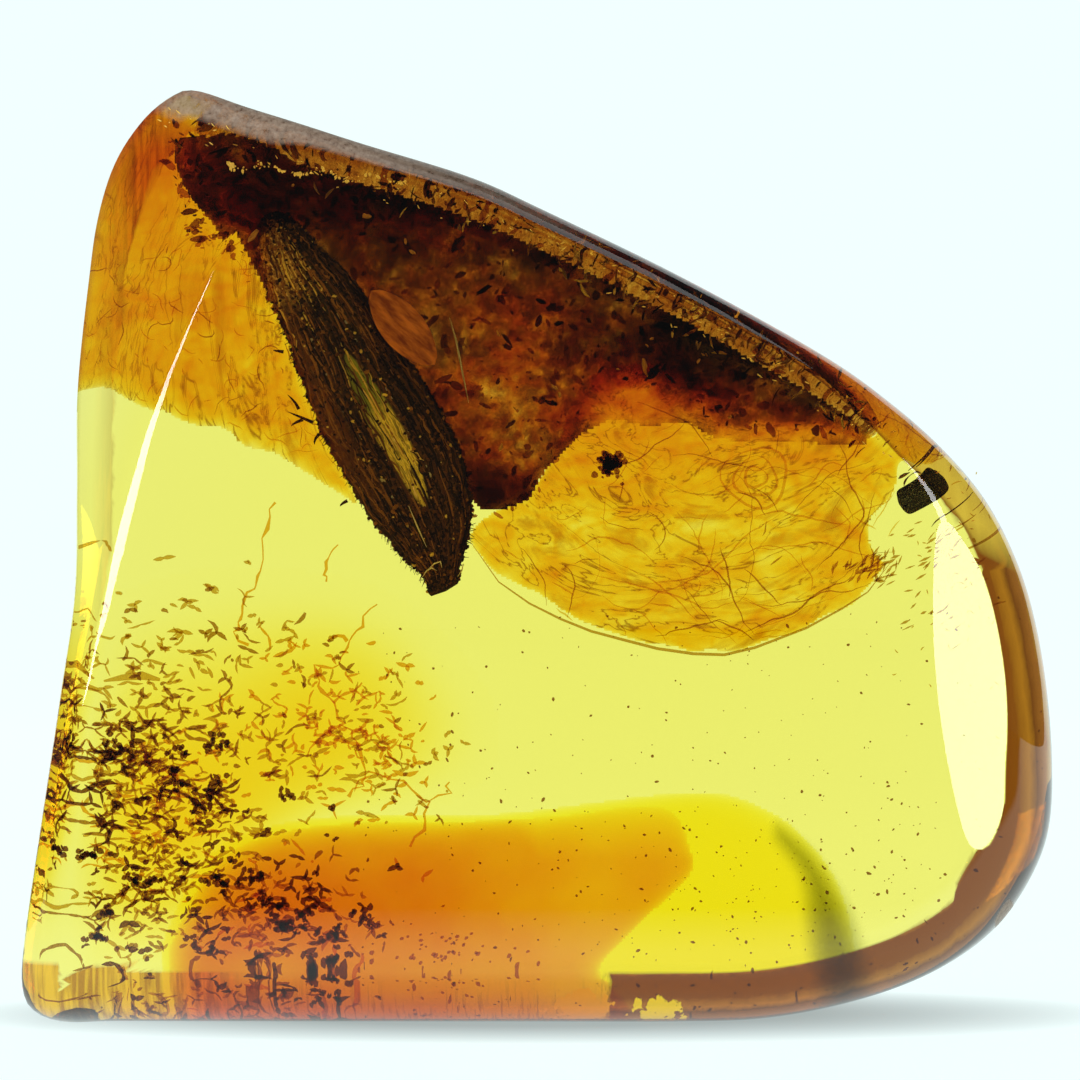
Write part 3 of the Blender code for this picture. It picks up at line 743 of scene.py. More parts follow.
# The lens's lower edge shows as one thin line
rim_line = [(x, 0.0, z) for x, z in (
    (-1.35, 9.4), (-0.8, 8.62), (-0.2, 8.2), (0.4, 7.9), (1.0, 7.66), (1.6, 7.5), (2.3, 7.32),
    (3.0, 7.22), (3.6, 7.2), (4.2, 7.34), (5.2, 7.72), (5.9, 8.1), (6.4, 8.42), (6.85, 9.0),
)]
crinkles.append((0, tapered(rim_line, 0.03)))
crinkled_skin = draw_strokes("crinkled_skin", [crease_brown, crease_gold], crinkles)
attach(crinkled_skin, "root")

# The bottom of the piece is darker gold: painted shade, where less light comes through from behind.
# Stained layers hold it, orange on the left, and a straight edge parts it from its brighter right
# end, which has a faint shaded edge, painted shade as well.
LOWER_SHADE_OUTLINE = [
    (-7.45, 1.3), (-7.2, 2.1), (-6.7, 3.1), (-5.8, 3.75), (-4.4, 4.05), (-3.0, 4.12),
    (-1.2, 4.12), (0.0, 4.22), (1.2, 4.38), (2.2, 4.5), (3.2, 4.56), (4.0, 4.42), (4.9, 3.95),
    (5.6, 3.2), (6.0, 2.4), (6.15, 1.6), (6.1, 0.9), (4.5, 0.5), (0.0, 0.4), (-4.0, 0.4),
    (-6.9, 0.45),
]
DEEP_SHADE_OUTLINE = [
    (-7.3, 1.2), (-7.0, 2.1), (-6.4, 3.1), (-5.4, 3.7), (-3.8, 3.95), (-1.8, 3.98), (0.4, 4.1),
    (2.0, 4.3), (2.7, 4.1), (2.95, 3.5), (3.0, 2.95), (2.1, 2.05), (1.15, 1.15), (0.5, 0.7),
    (-4.0, 0.45), (-6.8, 0.5),
]
SHADED_EDGE_OUTLINE = [
    (4.6, 4.1), (5.3, 3.65), (5.9, 2.9), (6.35, 2.0), (6.5, 1.2), (6.0, 0.9), (5.2, 1.1),
    (5.0, 2.0), (4.9, 2.8), (4.4, 3.6),
]


def lower_halves(x, z, depth):
    half = 0.45 * (1 - np.exp(-depth / 0.22))
    return -half, half


def deep_halves(x, z, depth):
    left = np.clip((1.0 - x) / 6.0, 0.0, 1.0)
    faded = np.clip((4.4 - z) / 1.2 + np.clip(-x, 0.0, 1.0), 0.0, 1.0)
    half = (0.28 + 0.42 * left) * (1 - np.exp(-depth / (0.12 + 0.5 * left)))
    half *= (1 + 0.15 * lumps(x, z, 1.5, 8.0)) * (0.15 + 0.85 * faded)
    return -half, half


def shade_halves(x, z, depth):
    half = 0.4 * (1 - np.exp(-((depth / 0.45) ** 2)))
    return -half, half


# Each of these layers darkens the view through it: painted shade
for name, outline, step, halves, colour, density in (
    ("lower_shade_layer", LOWER_SHADE_OUTLINE, 0.06, lower_halves, (0.994, 0.95, 0.0), 4000.0),
    ("deep_shade_layer", DEEP_SHADE_OUTLINE, 0.06, deep_halves, (0.945, 0.68, 0.0), 4200.0),
    ("shade_layer_edge", SHADED_EDGE_OUTLINE, 0.05, shade_halves, (0.35, 0.37, 0.0), 2600.0),
):
    flow = sealed_layer(name, outline, step, halves)
    stained = Finish(name + "_colour", IOR=1.0)
    stained.soak(colour, density)
    flow.data.materials.append(stained.material)
    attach(flow, "root")
    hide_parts("lower_gold_flow")

# The bark debris is a broken mass of bark and dust soaked with dark resin, under the long
# slope. Where it is thin, light comes through it orange and red-brown, and black where thick.
DEBRIS_OUTLINE = [
    (-6.6, 17.3), (-5.6, 17.08), (-3.6, 16.46), (-1.4, 15.76), (0.0, 15.14), (1.4, 14.46),
    (2.8, 13.76), (4.1, 13.02), (5.4, 12.28), (6.3, 11.68), (6.52, 11.4), (6.2, 11.25),
    (5.2, 11.3), (4.3, 11.3), (3.4, 11.4), (2.8, 11.7), (2.1, 11.6), (1.5, 11.75), (0.9, 11.5),
    (0.55, 11.2), (0.1, 10.7), (-0.2, 10.2), (-0.9, 9.97), (-1.3, 10.1), (-2.0, 11.2),
    (-3.2, 12.5), (-4.3, 13.5), (-4.9, 13.7), (-5.4, 14.3), (-5.7, 14.9), (-6.0, 15.5),
    (-6.4, 16.1), (-6.7, 16.8),
]
INSECT_TOP = Vector((-5.32, 0.0, 15.78))
INSECT_FOOT = Vector((-1.86, 0.0, 8.42))
insect_along = (INSECT_FOOT - INSECT_TOP).normalized()
insect_right = Vector((-insect_along.z, 0.0, insect_along.x))
insect_length = (INSECT_FOOT - INSECT_TOP).length


def debris_halves(x, z, depth):
    rise = 1 - np.exp(-depth / (0.12 + 0.55 * np.clip((x - 0.6) / 1.5, 0.0, 1.0)))
    rough = 0.6 * lumps(x, z, 0.9, 11.0, 6) + 0.4 * lumps(x, z, 0.2, 12.0, 3)
    thick = 0.75 + 1.0 * spot(x, z, 3.4, 13.0, 1.9, 0.8) + 0.4 * spot(x, z, -5.9, 16.2, 0.7, 0.8)
    thick += 0.8 * spot(x, z, -3.0, 16.2, 3.0, 0.7) - 0.4 * spot(x, z, -2.4, 13.6, 0.7, 0.8)
    thick += 0.4 * spot(x, z, 5.6, 12.1, 1.2, 0.4) + 0.25 * spot(x, z, -0.6, 10.6, 0.8, 0.7)
    thick = np.clip(thick * (1 + rough), 0.1, 1.7) * rise
    share = ((x - INSECT_TOP.x) * insect_along.x + (z - INSECT_TOP.z) * insect_along.z)
    aside = ((x - INSECT_TOP.x) * insect_right.x + (z - INSECT_TOP.z) * insect_right.z) - 0.2
    under = np.clip(1.5 - np.abs(aside), 0.0, 1.0) * np.clip(share, 0.0, 1.0)
    front = np.minimum(0.95, -thick / 2 * (1 - under) + 0.68 * under)
    return front, np.minimum(0.98, front + thick)


debris = sealed_layer("bark_mass", DEBRIS_OUTLINE, 0.06, debris_halves)
# How dark the mass is from place to place: (x, z, two reaches, how much darker or lighter)
BASE_GLOOM = 0.54
BARK_STAIN = (0.86, 0.58, 0.0)
BARK_DENSITY = 6800.0
DARK_PATCHES = [
    (3.2, 13.3, 1.6, 0.75, 0.7), (-5.9, 16.2, 1.2, 1.0, 0.15), (-2.6, 16.1, 2.8, 0.5, 0.4),
    (1.0, 14.9, 2.2, 0.4, 0.35), (5.2, 12.2, 1.0, 0.35, 0.3), (-2.4, 14.9, 1.2, 0.5, 0.2),
    (-0.4, 12.2, 1.2, 1.4, -0.25), (1.7, 12.1, 0.7, 0.6, -0.7), (-0.2, 13.8, 1.6, 0.6, -0.1),
    (4.6, 11.5, 1.6, 0.25, -0.6),
    (-6.6, 15.3, 0.6, 0.5, -0.1), (-0.6, 10.3, 0.7, 0.5, 0.25), (3.4, 12.1, 1.4, 0.3, -0.3),
]
gloom = debris.data.attributes.new("gloom", "FLOAT", "POINT")
for vertex in debris.data.vertices:
    x, _, z = vertex.co / MM
    gloom.data[vertex.index].value = BASE_GLOOM + sum(
        more * spot(x, z, cx, cz, rx, rz) for cx, cz, rx, rz, more in DARK_PATCHES
    )
soaked_bark = Finish("soaked_bark", IOR=1.0)
soaked_bark.soak(BARK_STAIN, BARK_DENSITY)
where = soaked_bark.place()
gloom = soaked_bark.node("Attribute", {"attribute_name": "gloom"}, {}, "Fac")
clouds = soaked_bark.grain(where, 0.9, 5.0, 0.62, 0.6)
mottle = soaked_bark.grain(where, 0.22, 4.0, 0.65)
dusk = gloom + (clouds - 0.5) * 1.9 + (mottle - 0.5) * 0.9
soaked_bark.wear(
    Base_Color=soaked_bark.ramp(
        dusk, (0.0, (1.0, 1.0, 1.0)), (0.25, (0.7, 0.55, 0.4)), (0.45, (0.32, 0.2, 0.15)),
        (0.7, (0.1, 0.05, 0.035)), (1.0, (0.02, 0.012, 0.01)),
    )
)
debris.data.materials.append(soaked_bark.material)
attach(debris, "root")
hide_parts("bark_debris")

# Brown dust and fibre fill a narrow band along the long upper edge. They were trapped in a seam
# of the resin, and light comes through them gold and brown.
EDGE_BAND_OUTLINE = [
    (-6.4, 17.6), (-6.2, 17.78), (-5.9, 17.72), (-5.6, 17.62), (-3.6, 16.97), (-1.4, 16.28),
    (0.0, 15.67), (2.76, 14.32), (5.52, 12.8), (6.9, 11.85), (7.8, 11.0), (8.4, 10.3),
    (8.2, 10.1), (7.4, 10.8), (6.4, 11.45), (5.0, 12.3), (2.4, 13.6), (0.0, 14.8),
    (-1.8, 15.55), (-3.9, 16.25), (-5.4, 16.75), (-6.2, 17.1),
]
EDGE_LEAN = math.radians(27.0)
BAND_HALF = 2.2
BAND_THIN_END = -4.5


def band_halves(x, z, depth):
    along = x * math.cos(EDGE_LEAN) - z * math.sin(EDGE_LEAN)
    over = x * math.sin(EDGE_LEAN) + z * math.cos(EDGE_LEAN)
    fibres = 1 + 0.45 * lumps(along / 0.1, over / 0.5, 1.0, 14.0, 4)
    fibres += 0.4 * lumps(along, over, 0.5, 15.0, 4)
    half = BAND_HALF * (1 - np.exp(-depth / 0.15)) * np.clip(fibres, 0.15, 1.2)
    half *= np.clip(1 + 0.3 * (x - BAND_THIN_END), 0.4, 1.0)
    return -half, half


edge_band = sealed_layer("edge_band", EDGE_BAND_OUTLINE, 0.045, band_halves)
edge_dust = Finish("edge_dust", IOR=1.0)
edge_dust.soak((0.72, 0.42, 0.0), 760.0)
dust_grain = edge_dust.grain(edge_dust.place(), 0.15, 4.0, 0.65)
edge_dust.wear(Base_Color=edge_dust.ramp(
    dust_grain, (0.35, (0.35, 0.2, 0.1)), (0.5, (0.75, 0.6, 0.4)), (0.65, (1.0, 0.95, 0.8))
))
edge_band.data.materials.append(edge_dust.material)
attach(edge_band, "root")

# Loose crumbs of bark, their colour from black to orange, lie in and round the dark mass. They
# sank into the resin while it was soft. Each is a small uneven lump.
CRUMB_COUNT = 1000
CRUMB_TONES = [
    stain("crumb_black", (0.12, 0.05, 0.03)), stain("crumb_umber", (0.3, 0.15, 0.07)),
    stain("crumb_russet", (0.5, 0.26, 0.1)), plain("crumb_orange", (0.45, 0.17, 0.03)),
]


def scatter(name, subdivisions, finishes, lots):
    """Many small lumps in one mesh: each is a place, three half-sizes, a turn and a finish."""
    bpy.ops.object.select_all(action="DESELECT")
    bpy.ops.mesh.primitive_ico_sphere_add(subdivisions=subdivisions, radius=1.0)
    piece = start_piece(name)
    ball = np.array([tuple(v.co) for v in piece.data.vertices])
    corners = np.array([tuple(p.vertices) for p in piece.data.polygons])
    places, faces, tones = [], [], []
    for place, sizes, turn, tone in lots:
        bumps = np.array([
            1 + 0.6 * noise.noise(Vector(v) * 1.7 + Vector(place) * 3.1) for v in ball.tolist()
        ])
        lump = ball * bumps[:, None] * np.array(sizes)
        c, s = math.cos(turn), math.sin(turn)
        lump = np.stack(
            [lump[:, 0] * c - lump[:, 2] * s, lump[:, 1], lump[:, 0] * s + lump[:, 2] * c], -1
        )
        faces.append(corners + len(ball) * len(places))
        places.append(lump + np.array(place))
        tones += [tone] * len(corners)
    mesh = bpy.data.meshes.new(name)
    mesh.from_pydata(
        (np.concatenate(places) * MM).tolist(), [], np.concatenate(faces).tolist()
    )
    for finish in finishes:
        mesh.materials.append(finish.material)
    mesh.polygons.foreach_set("material_index", tones)
    piece.data = mesh
    in_edit_mode(piece, face_out)
    return piece


debris_loop = smooth_loop([
    (-6.6, 17.6), (-5.6, 17.35), (-3.6, 16.75), (-1.4, 16.1), (0.0, 15.45), (2.8, 14.1),
    (5.5, 12.6), (7.0, 11.6), (7.5, 11.0), (6.6, 11.2), (5.2, 11.5), (4.3, 11.5), (3.4, 11.6),
    (2.8, 12.2), (1.7, 12.5), (0.95, 12.1), (0.5, 11.2), (0.0, 10.3), (-0.9, 9.75),
    (-1.3, 9.8), (-2.0, 11.0), (-3.2, 12.5), (-4.9, 13.6), (-5.6, 14.2), (-6.1, 14.9),
    (-6.6, 15.7), (-6.8, 16.7),
], 90)
rng = random.Random(21)
crumbs = []
while len(crumbs) < CRUMB_COUNT:
    x, z = rng.uniform(-7.5, 7.5), rng.uniform(9.8, 17.5)
    inside = depth_inside(debris_loop, np.array([x]), np.array([z]))[0]
    if inside < 0.05:
        continue
    dark = spot(x, z, 3.4, 13.1, 2.0, 0.7) + spot(x, z, -6.0, 16.2, 1.2, 1.0)
    dark += 0.8 * spot(x, z, -2.5, 16.2, 3.0, 0.6) + 0.5 * math.exp(-inside / 0.2)
    if rng.random() > 0.3 + dark:
        continue
    aside = Vector((x, 0, z)) - INSECT_TOP
    over_insect = abs(aside.dot(insect_right) - 0.2) < 1.4 and aside.dot(insect_along) > 0.3
    y = rng.uniform(0.75, 1.4) if over_insect else rng.uniform(-1.3, 1.3)
    tone = rng.choices(range(4), (2, 4, 4, 1))[0]
    size = 0.02 + 0.07 * rng.random() ** 2.5
    sizes = (size * rng.uniform(1.0, 2.2), size * 0.6, size * rng.uniform(0.5, 1.0))
    crumbs.append(((x, y, z), sizes, rng.uniform(0, math.pi), tone))
bark_crumbs = scatter("bark_crumbs", 2, CRUMB_TONES, crumbs)
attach(bark_crumbs, "root")

# A thin red-orange flake of bark lies beside the insect, a little curled, with a round dark seed
# further right. The seed is a ball with a coat of small grains.
FLAKE_PLACE = Vector((-2.66, -0.75, 13.56))
FLAKE_LENGTH = 1.9
FLAKE_HALF = 0.42
FLAKE_STEPS = 24
SEED_PLACE = (1.36, -0.3, 10.92)
SEED_GRAIN_COUNT = 90
flake_along = Vector((0.653, 0.0, -0.757))
flake_across = Vector((0.757, 0.0, 0.653))


def flake_point(segment, ring):
    t, a = ring / FLAKE_STEPS, math.tau * segment / FLAKE_STEPS
    p = FLAKE_PLACE + flake_along * FLAKE_LENGTH * (t - 0.5)
    half = FLAKE_HALF * math.sin(math.pi * t) ** 0.6
    curl = -0.12 * math.cos(a) ** 2
    return p + flake_across * half * math.cos(a) + Vector((0, 0.06 * math.sin(a) + curl, 0))


flake = shaped_ball("bark_flake", FLAKE_STEPS, FLAKE_STEPS, flake_point)
flake_finish = Finish("flake_orange", Roughness=0.6, IOR=1.2)
flake_grain = flake_finish.grain(
    flake_finish.place(turn=(0, 0.86, 0), scale=(1.0, 1.0, 0.25)), 0.12, 3.0, 0.6
)
flake_colour = flake_finish.ramp(
    flake_grain, (0.35, (0.18, 0.03, 0.004)), (0.65, (0.5, 0.12, 0.012))
)
# The flake glows faintly in its own colour: painted light
flake_finish.wear(
    Base_Color=flake_colour, Emission_Color=flake_colour, Emission_Strength=0.13,
)
flake.data.materials.append(flake_finish.material)
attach(flake, "root")
rng = random.Random(3)
seed_grains = [(SEED_PLACE, (0.14, 0.14, 0.13), 0.0, 0)]
for _ in range(SEED_GRAIN_COUNT):
    place = tuple(rng.gauss(middle, stray) for middle, stray in zip(SEED_PLACE, (0.12, 0.1, 0.11)))
    seed_grains.append((place, (rng.uniform(0.02, 0.07),) * 3, rng.random(), 1))
seed_dot = scatter("dark_seed", 2, CRUMB_TONES[:2], seed_grains)
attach(seed_dot, "root")

# Splinters of bark fibre stand in from the long edge, each a thin thread of its own. They lie in
# the same seam as the dust, and one pale fibre lies over the dark mass.
FIBRE_COUNT = 420
EDGE_INWARD = (0.45, 0.9)
fibre_gold = plain("fibre_gold", (0.62, 0.34, 0.06))
fibre_brown = plain("fibre_brown", (0.22, 0.09, 0.02))
fibre_pale = plain("fibre_pale", (0.5, 0.36, 0.24))
rng = random.Random(5)
fibres = []
edge_loop = [p for p in smooth_loop(SLAB_OUTLINE, 900) if p.y > 10.4 and p.x > -7.2]
edge_loop = [p for p in edge_loop if p.x * EDGE_SLOPE + p.y > 14.0]
for _ in range(FIBRE_COUNT):
    p = rng.choice(edge_loop)
    if p.x < 0.5 and rng.random() < 0.55:
        continue
    depth = 0.25 + 0.75 * rng.random() ** 1.5
    lean = math.radians(-117.0 + rng.gauss(0.0, 55.0))
    x, z = p.x - EDGE_INWARD[0] * depth, p.y - EDGE_INWARD[1] * depth
    y, long = rng.uniform(-2.2, 1.2), rng.uniform(0.08, 0.36)
    if p.x < -4.5:
        y *= 0.4
    points = [
        (x + long * s * math.cos(lean + 0.3 * s), y, z + long * s * math.sin(lean + 0.3 * s))
        for s in (0.0, 0.35, 0.7, 1.0)
    ]
    fibres.append((int(rng.random() < 0.45), tapered(points, rng.uniform(0.012, 0.04))))
pale_line = [
    (-1.75, -1.1, 13.75), (-1.62, -1.15, 13.3), (-1.5, -1.2, 12.7), (-1.38, -1.2, 12.1),
]
fibres.append((2, tapered(pale_line, 0.022)))
edge_fibres = draw_strokes("edge_fibres", [fibre_gold, fibre_brown, fibre_pale], fibres)
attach(edge_fibres, "root")

# Gold chips glint along the upper edge and over the top of the dark mass. They are cracks and
# flat bubbles in the resin that catch the light, here small flat lumps with a faint glow: painted
# glints.
ROW_GLINT_COUNT = 90
EDGE_GLINT_COUNT = 110
glint = plain("gold_glint", (0.95, 0.62, 0.12), 0.4)
glint.wear(Emission_Color=(0.9, 0.5, 0.06, 1), Emission_Strength=0.2)
rng = random.Random(9)
glints = []
for _ in range(ROW_GLINT_COUNT):
    share = rng.random()
    x = -6.0 + 3.4 * share
    z = 16.68 - 0.3 * share - 0.06 * math.sin(share * 21) + rng.gauss(0.0, 0.035)
    size = 0.012 + 0.03 * rng.random() ** 2
    glints.append(((x, -2.6, z), (size, 0.015, size * rng.uniform(0.6, 1.8)), rng.random(), 0))
for _ in range(EDGE_GLINT_COUNT):
    p = rng.choice(edge_loop)
    deep = rng.uniform(0.4, 1.0)
    y = rng.uniform(-3.0, -2.5)
    place = (p.x - EDGE_INWARD[0] * deep, y, p.y - EDGE_INWARD[1] * deep)
    turn = math.radians(-27 + rng.gauss(0, 25))
    glints.append((place, (rng.uniform(0.015, 0.07), 0.012, 0.01), turn, 0))
gold_glints = scatter("gold_glints", 1, [glint], glints)
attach(gold_glints, "root")

# The insect lies closed up like a spindle, its upper end frayed and a small knob at its foot.
# Its dark wall is ribbed lengthwise and grainy, with an olive-gold window in the middle.
INSECT_DEPTH_SHARE = 0.55
# Share of the length, half-width, and how far the body bows out to the right
INSECT_GIRTH = [
    (0.0, 0.1, 0.06), (0.01, 0.22, 0.06), (0.03, 0.32, 0.06), (0.08, 0.5, 0.05),
    (0.15, 0.66, 0.06), (0.22, 0.78, 0.13), (0.3, 0.88, 0.18), (0.4, 0.97, 0.2),
    (0.5, 1.07, 0.25), (0.6, 1.13, 0.31), (0.7, 1.09, 0.36), (0.78, 1.0, 0.35),
    (0.85, 0.84, 0.32), (0.9, 0.65, 0.27), (0.94, 0.45, 0.19), (0.965, 0.35, 0.1),
    (0.985, 0.35, 0.05), (0.997, 0.28, 0.02), (1.0, 0.02, 0.02),
]
# Share of the length where the middle of the window lies
WINDOW_MIDDLE = 0.59
INSECT_SEGMENTS = 160
INSECT_RINGS = 240
shares, girths, bows = zip(*INSECT_GIRTH)


def on_insect(t, a, lift=0.0):
    """A point on the insect: t runs from its upper end to its foot, a goes round it."""
    girth = float(np.interp(t, shares, girths))
    centre = INSECT_TOP + insect_along * insect_length * t
    centre += insect_right * float(np.interp(t, shares, bows))
    wide, deep = girth + lift, girth * INSECT_DEPTH_SHARE + lift
    return centre + insect_right * wide * math.cos(a) + Vector((0, 1, 0)) * deep * math.sin(a)


def window_share(t, v):
    """How far inside the insect's window a point lies: 0 outside, 1 well inside."""
    half = 0.26 * math.sin(math.pi * min(1.0, max(0.0, (t - 0.38) / 0.42))) ** 0.5
    return min(1.0, max(0.0, (half - abs(v - 0.04)) / 0.07))


def insect_relief(t, a):
    v, facing = math.cos(a), max(0.0, -math.sin(a))
    p = on_insect(t, a)
    lift = 0.07 * noise.fractal(p * 2.2, 0.9, 2.0, 5) + 0.04 * noise.fractal(p * 9.0, 0.9, 2.0, 3)
    lift += 0.022 * math.sin(26 * v + 3 * math.sin(6 * t)) * facing
    if 0.1 < t < 0.9:
        lift -= 0.09 * math.exp(-(((v + 0.48) / 0.07) ** 2)) * facing
        lift += 0.07 * math.exp(-(((v + 0.72) / 0.13) ** 2)) * facing
        lift += 0.1 * math.exp(-(((v - 0.62) / 0.22) ** 2)) * facing
    lift -= 0.16 * window_share(t, v) * facing
    return lift * min(1.0, 8 * (1 - t), 1 + 10 * t)


def insect_point(segment, ring):
    t, a = ring / INSECT_RINGS, math.tau * segment / INSECT_SEGMENTS
    return on_insect(t, a, insect_relief(t, a))


insect = shaped_ball("insect_body", INSECT_SEGMENTS, INSECT_RINGS, insect_point)
along_it = insect.data.attributes.new("along", "FLOAT", "POINT")
across_it = insect.data.attributes.new("across", "FLOAT", "POINT")
for vertex in insect.data.vertices:
    away = vertex.co / MM - INSECT_TOP
    t = min(1.0, max(0.0, away.dot(insect_along) / insect_length))
    girth = max(0.1, float(np.interp(t, shares, girths)))
    along_it.data[vertex.index].value = t
    across_it.data[vertex.index].value = (
        away.dot(insect_right) - float(np.interp(t, shares, bows))
    ) / girth

husk = Finish("insect_husk", Roughness=0.7, IOR=1.2)
t = husk.node("Attribute", {"attribute_name": "along"}, {}, "Fac")
v = husk.node("Attribute", {"attribute_name": "across"}, {}, "Fac")
where = husk.place()
fine = husk.grain(where, 0.07, 3.0, 0.7)
coarse = husk.grain(where, 0.4, 4.0, 0.6)
wobble = (coarse - 0.5) * 0.25
lengthwise = husk.node("CombineXYZ", {}, {"X": v * 16.0 + wobble * 8.0, "Y": t * 9.0})
strands = husk.node(
    "TexNoise", {}, {"Vector": lengthwise, "Scale": 1.0, "Detail": 3.0, "Roughness": 0.6}, "Fac"
)
wall = husk.ramp(
    fine * 0.55 + strands * 0.45,
    (0.36, (0.012, 0.004, 0.002)), (0.52, (0.05, 0.017, 0.006)), (0.62, (0.14, 0.05, 0.012)),
    (0.72, (0.4, 0.2, 0.06)),
)
red_side = (-0.52 - (v + wobble)).past(0.0, 0.15) * t.near(0.48, 0.3)
wall = husk.mix(red_side * 0.75, wall, (0.26, 0.065, 0.01, 1.0))
frayed = (0.24 - t + wobble * 0.5).past(0.0, 0.06) * (0.25 - v + wobble).past(0.0, 0.3)
orange_end = husk.ramp(fine, (0.35, (0.12, 0.04, 0.006)), (0.6, (0.5, 0.22, 0.04)),
                       (0.72, (0.95, 0.6, 0.15)))
wall = husk.mix(frayed, wall, orange_end)
green_top = t.near(0.24, 0.14) * v.near(0.25, 0.5)
wall = husk.mix(green_top * 0.6, wall, (0.03, 0.025, 0.006, 1.0))
beads = husk.node("CombineXYZ", {}, {"X": v * 6.0, "Y": t * 62.0})
beads = husk.node("TexVoronoi", {}, {"Vector": beads, "Scale": 1.0}, "Distance")
on_grooves = (v + wobble * 0.3).near(-0.47, 0.06) + (v + wobble * 0.3).near(0.36, 0.04)
beads = (0.34 - beads).past(0.0, 0.08) * on_grooves.past(0.2, 0.4)
beads = beads * t.near(0.45, 0.36).past(0, 0.2)
wall = husk.mix(beads * 0.8, wall, (0.6, 0.42, 0.2, 1.0))
# The window is a long oval
bulge = 1 - ((t - WINDOW_MIDDLE) * 4.8) ** 2.0
half = bulge.sum("MAXIMUM", bulge, 0.0) ** 0.5 * 0.27
in_window = (half - (v - 0.04 + wobble * 0.15).size()).past(0, 0.05)
glass = husk.ramp(
    strands, (0.3, (0.06, 0.03, 0.004)), (0.45, (0.3, 0.18, 0.02)), (0.52, (0.7, 0.45, 0.05)),
    (0.6, (0.3, 0.15, 0.012)), (0.7, (0.9, 0.6, 0.15)),
)
olive = husk.mix(strands, (0.13, 0.11, 0.01, 1.0), (0.27, 0.22, 0.02, 1.0))
glass = husk.mix((0.56 - t + wobble * 0.3).past(0.0, 0.04), glass, olive)
skin = husk.mix(in_window, wall, glass)
husk.wear(Base_Color=skin, Normal=husk.bump(fine + strands, 0.05))
# The window and the frayed upper end glow faintly: painted light, for light coming through them
glow = husk.mix(in_window, husk.mix(frayed * 0.8, (0, 0, 0, 1), orange_end), glass)
husk.wear(Emission_Color=glow, Emission_Strength=0.25)
insect.data.materials.append(husk.material)
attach(insect, "root")
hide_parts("insect")

# Ribs, strands and grains stand on its wall, each a thread or a lump a few hundredths of a
# millimetre wide
RIB_COUNT = 260
GRAIN_COUNT = 2600
INSECT_TONES = [
    plain("rib_black", (0.02, 0.007, 0.003)), plain("rib_umber", (0.11, 0.035, 0.01)),
    plain("rib_russet", (0.3, 0.1, 0.02)), plain("rib_gold", (0.8, 0.46, 0.08)),
]
rng = random.Random(61)
ribs = []
while len(ribs) < RIB_COUNT:
    t, v = rng.uniform(0.02, 0.85), rng.uniform(-0.97, 0.97)
    long = rng.uniform(0.06, 0.28)
    in_window = window_share(min(1.0, t + long / 2), v) > 0.4
    points = []
    drift, phase = rng.gauss(0.0, 0.08), rng.uniform(0, 6)
    for k in range(12):
        s = t + long * k / 11
        if s > 0.985:
            break
        aside = max(-0.99, min(0.99, v + drift * k / 11 + 0.015 * math.sin(phase + k)))
        a = -math.acos(aside)
        points.append(on_insect(s, a, insect_relief(s, a) + 0.004))
    if len(points) < 5:
        continue
    tone = rng.choices(range(4), (4, 4, 2, 0))[0]
    if in_window:
        tone = rng.choices(range(4), (1, 2, 1, 5))[0]
    elif t < 0.16 and v < 0.4:
        tone = rng.choices(range(4), (1, 1, 4, 3))[0]
    elif v < -0.6:
        tone = rng.choices(range(4), (2, 2, 4, 0))[0]
    ribs.append((tone, tapered(points, rng.uniform(0.012, 0.032))))
insect_ribs = draw_strokes("insect_ribs", INSECT_TONES, ribs)
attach(insect_ribs, "root")
grains = []
while len(grains) < GRAIN_COUNT:
    t, v = rng.uniform(0.0, 0.99), max(-1.0, min(1.0, rng.gauss(0.0, 0.7)))
    if window_share(t, v) > 0.2 and rng.random() < 0.9:
        continue
    a = -math.acos(v)
    size = 0.012 + 0.03 * rng.random() ** 2
    lined = math.exp(-(((v + 0.48) / 0.08) ** 2)) + math.exp(-(((abs(v) - 0.93) / 0.06) ** 2))
    frayed = max(0.0, 1 - t / 0.2) * max(0.0, 0.6 - v)
    light = 0.12 + 0.5 * lined + 4.0 * frayed
    tone = rng.choices(range(4), (3, 3, 3 * light, 1.2 * light))[0]
    place = on_insect(t, a, insect_relief(t, a) + size * 0.3)
    grains.append((tuple(place), (size * rng.uniform(1, 1.7), size, size), rng.uniform(0, 3), tone))
insect_grains = scatter("insect_grains", 1, INSECT_TONES, grains)
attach(insect_grains, "root")

# Short dark hairs fringe the insect's margins, and a few pale fibres curl round its knob. All
# are threads that thin out to a point. Some longer bristles stand out on its left.
HAIR_COUNT = 420
hair_dark = plain("hair_dark", (0.08, 0.035, 0.012))
hair_pale = plain("hair_pale", (0.85, 0.66, 0.4))
rng = random.Random(33)
hairs = []
for _ in range(HAIR_COUNT):
    side = -1 if rng.random() < 0.6 else 1
    t = rng.uniform(0.1, 0.96)
    a = (math.pi if side < 0 else 0.0) + rng.gauss(0.0, 0.35)
    foot = on_insect(t, a, -0.02)
    out = insect_right * side + insect_along * rng.gauss(0.5, 0.5)
    out = (out + Vector((0, rng.gauss(0.0, 0.4), 0))).normalized()
    long, bend = rng.uniform(0.05, 0.17), insect_along * rng.uniform(-0.02, 0.05)
    points = [foot, foot + out * long * 0.5 + bend * 0.3, foot + out * long + bend]
    hairs.append((0, tapered(points, 0.011, False)))
for points in (
    [(-2.18, -0.62, 8.86), (-2.05, -0.66, 8.98), (-1.93, -0.66, 9.02), (-1.9, -0.62, 8.9)],
    [(-2.28, -0.6, 8.72), (-2.2, -0.66, 8.84), (-2.1, -0.66, 8.9), (-2.0, -0.6, 8.84)],
    [(-1.6, -0.62, 8.72), (-1.52, -0.66, 8.84), (-1.48, -0.6, 8.98)],
    [(-2.55, -0.7, 10.1), (-2.38, -0.72, 9.7), (-2.2, -0.7, 9.3)],
):
    hairs.append((1, tapered([Vector(p) for p in points], 0.016)))
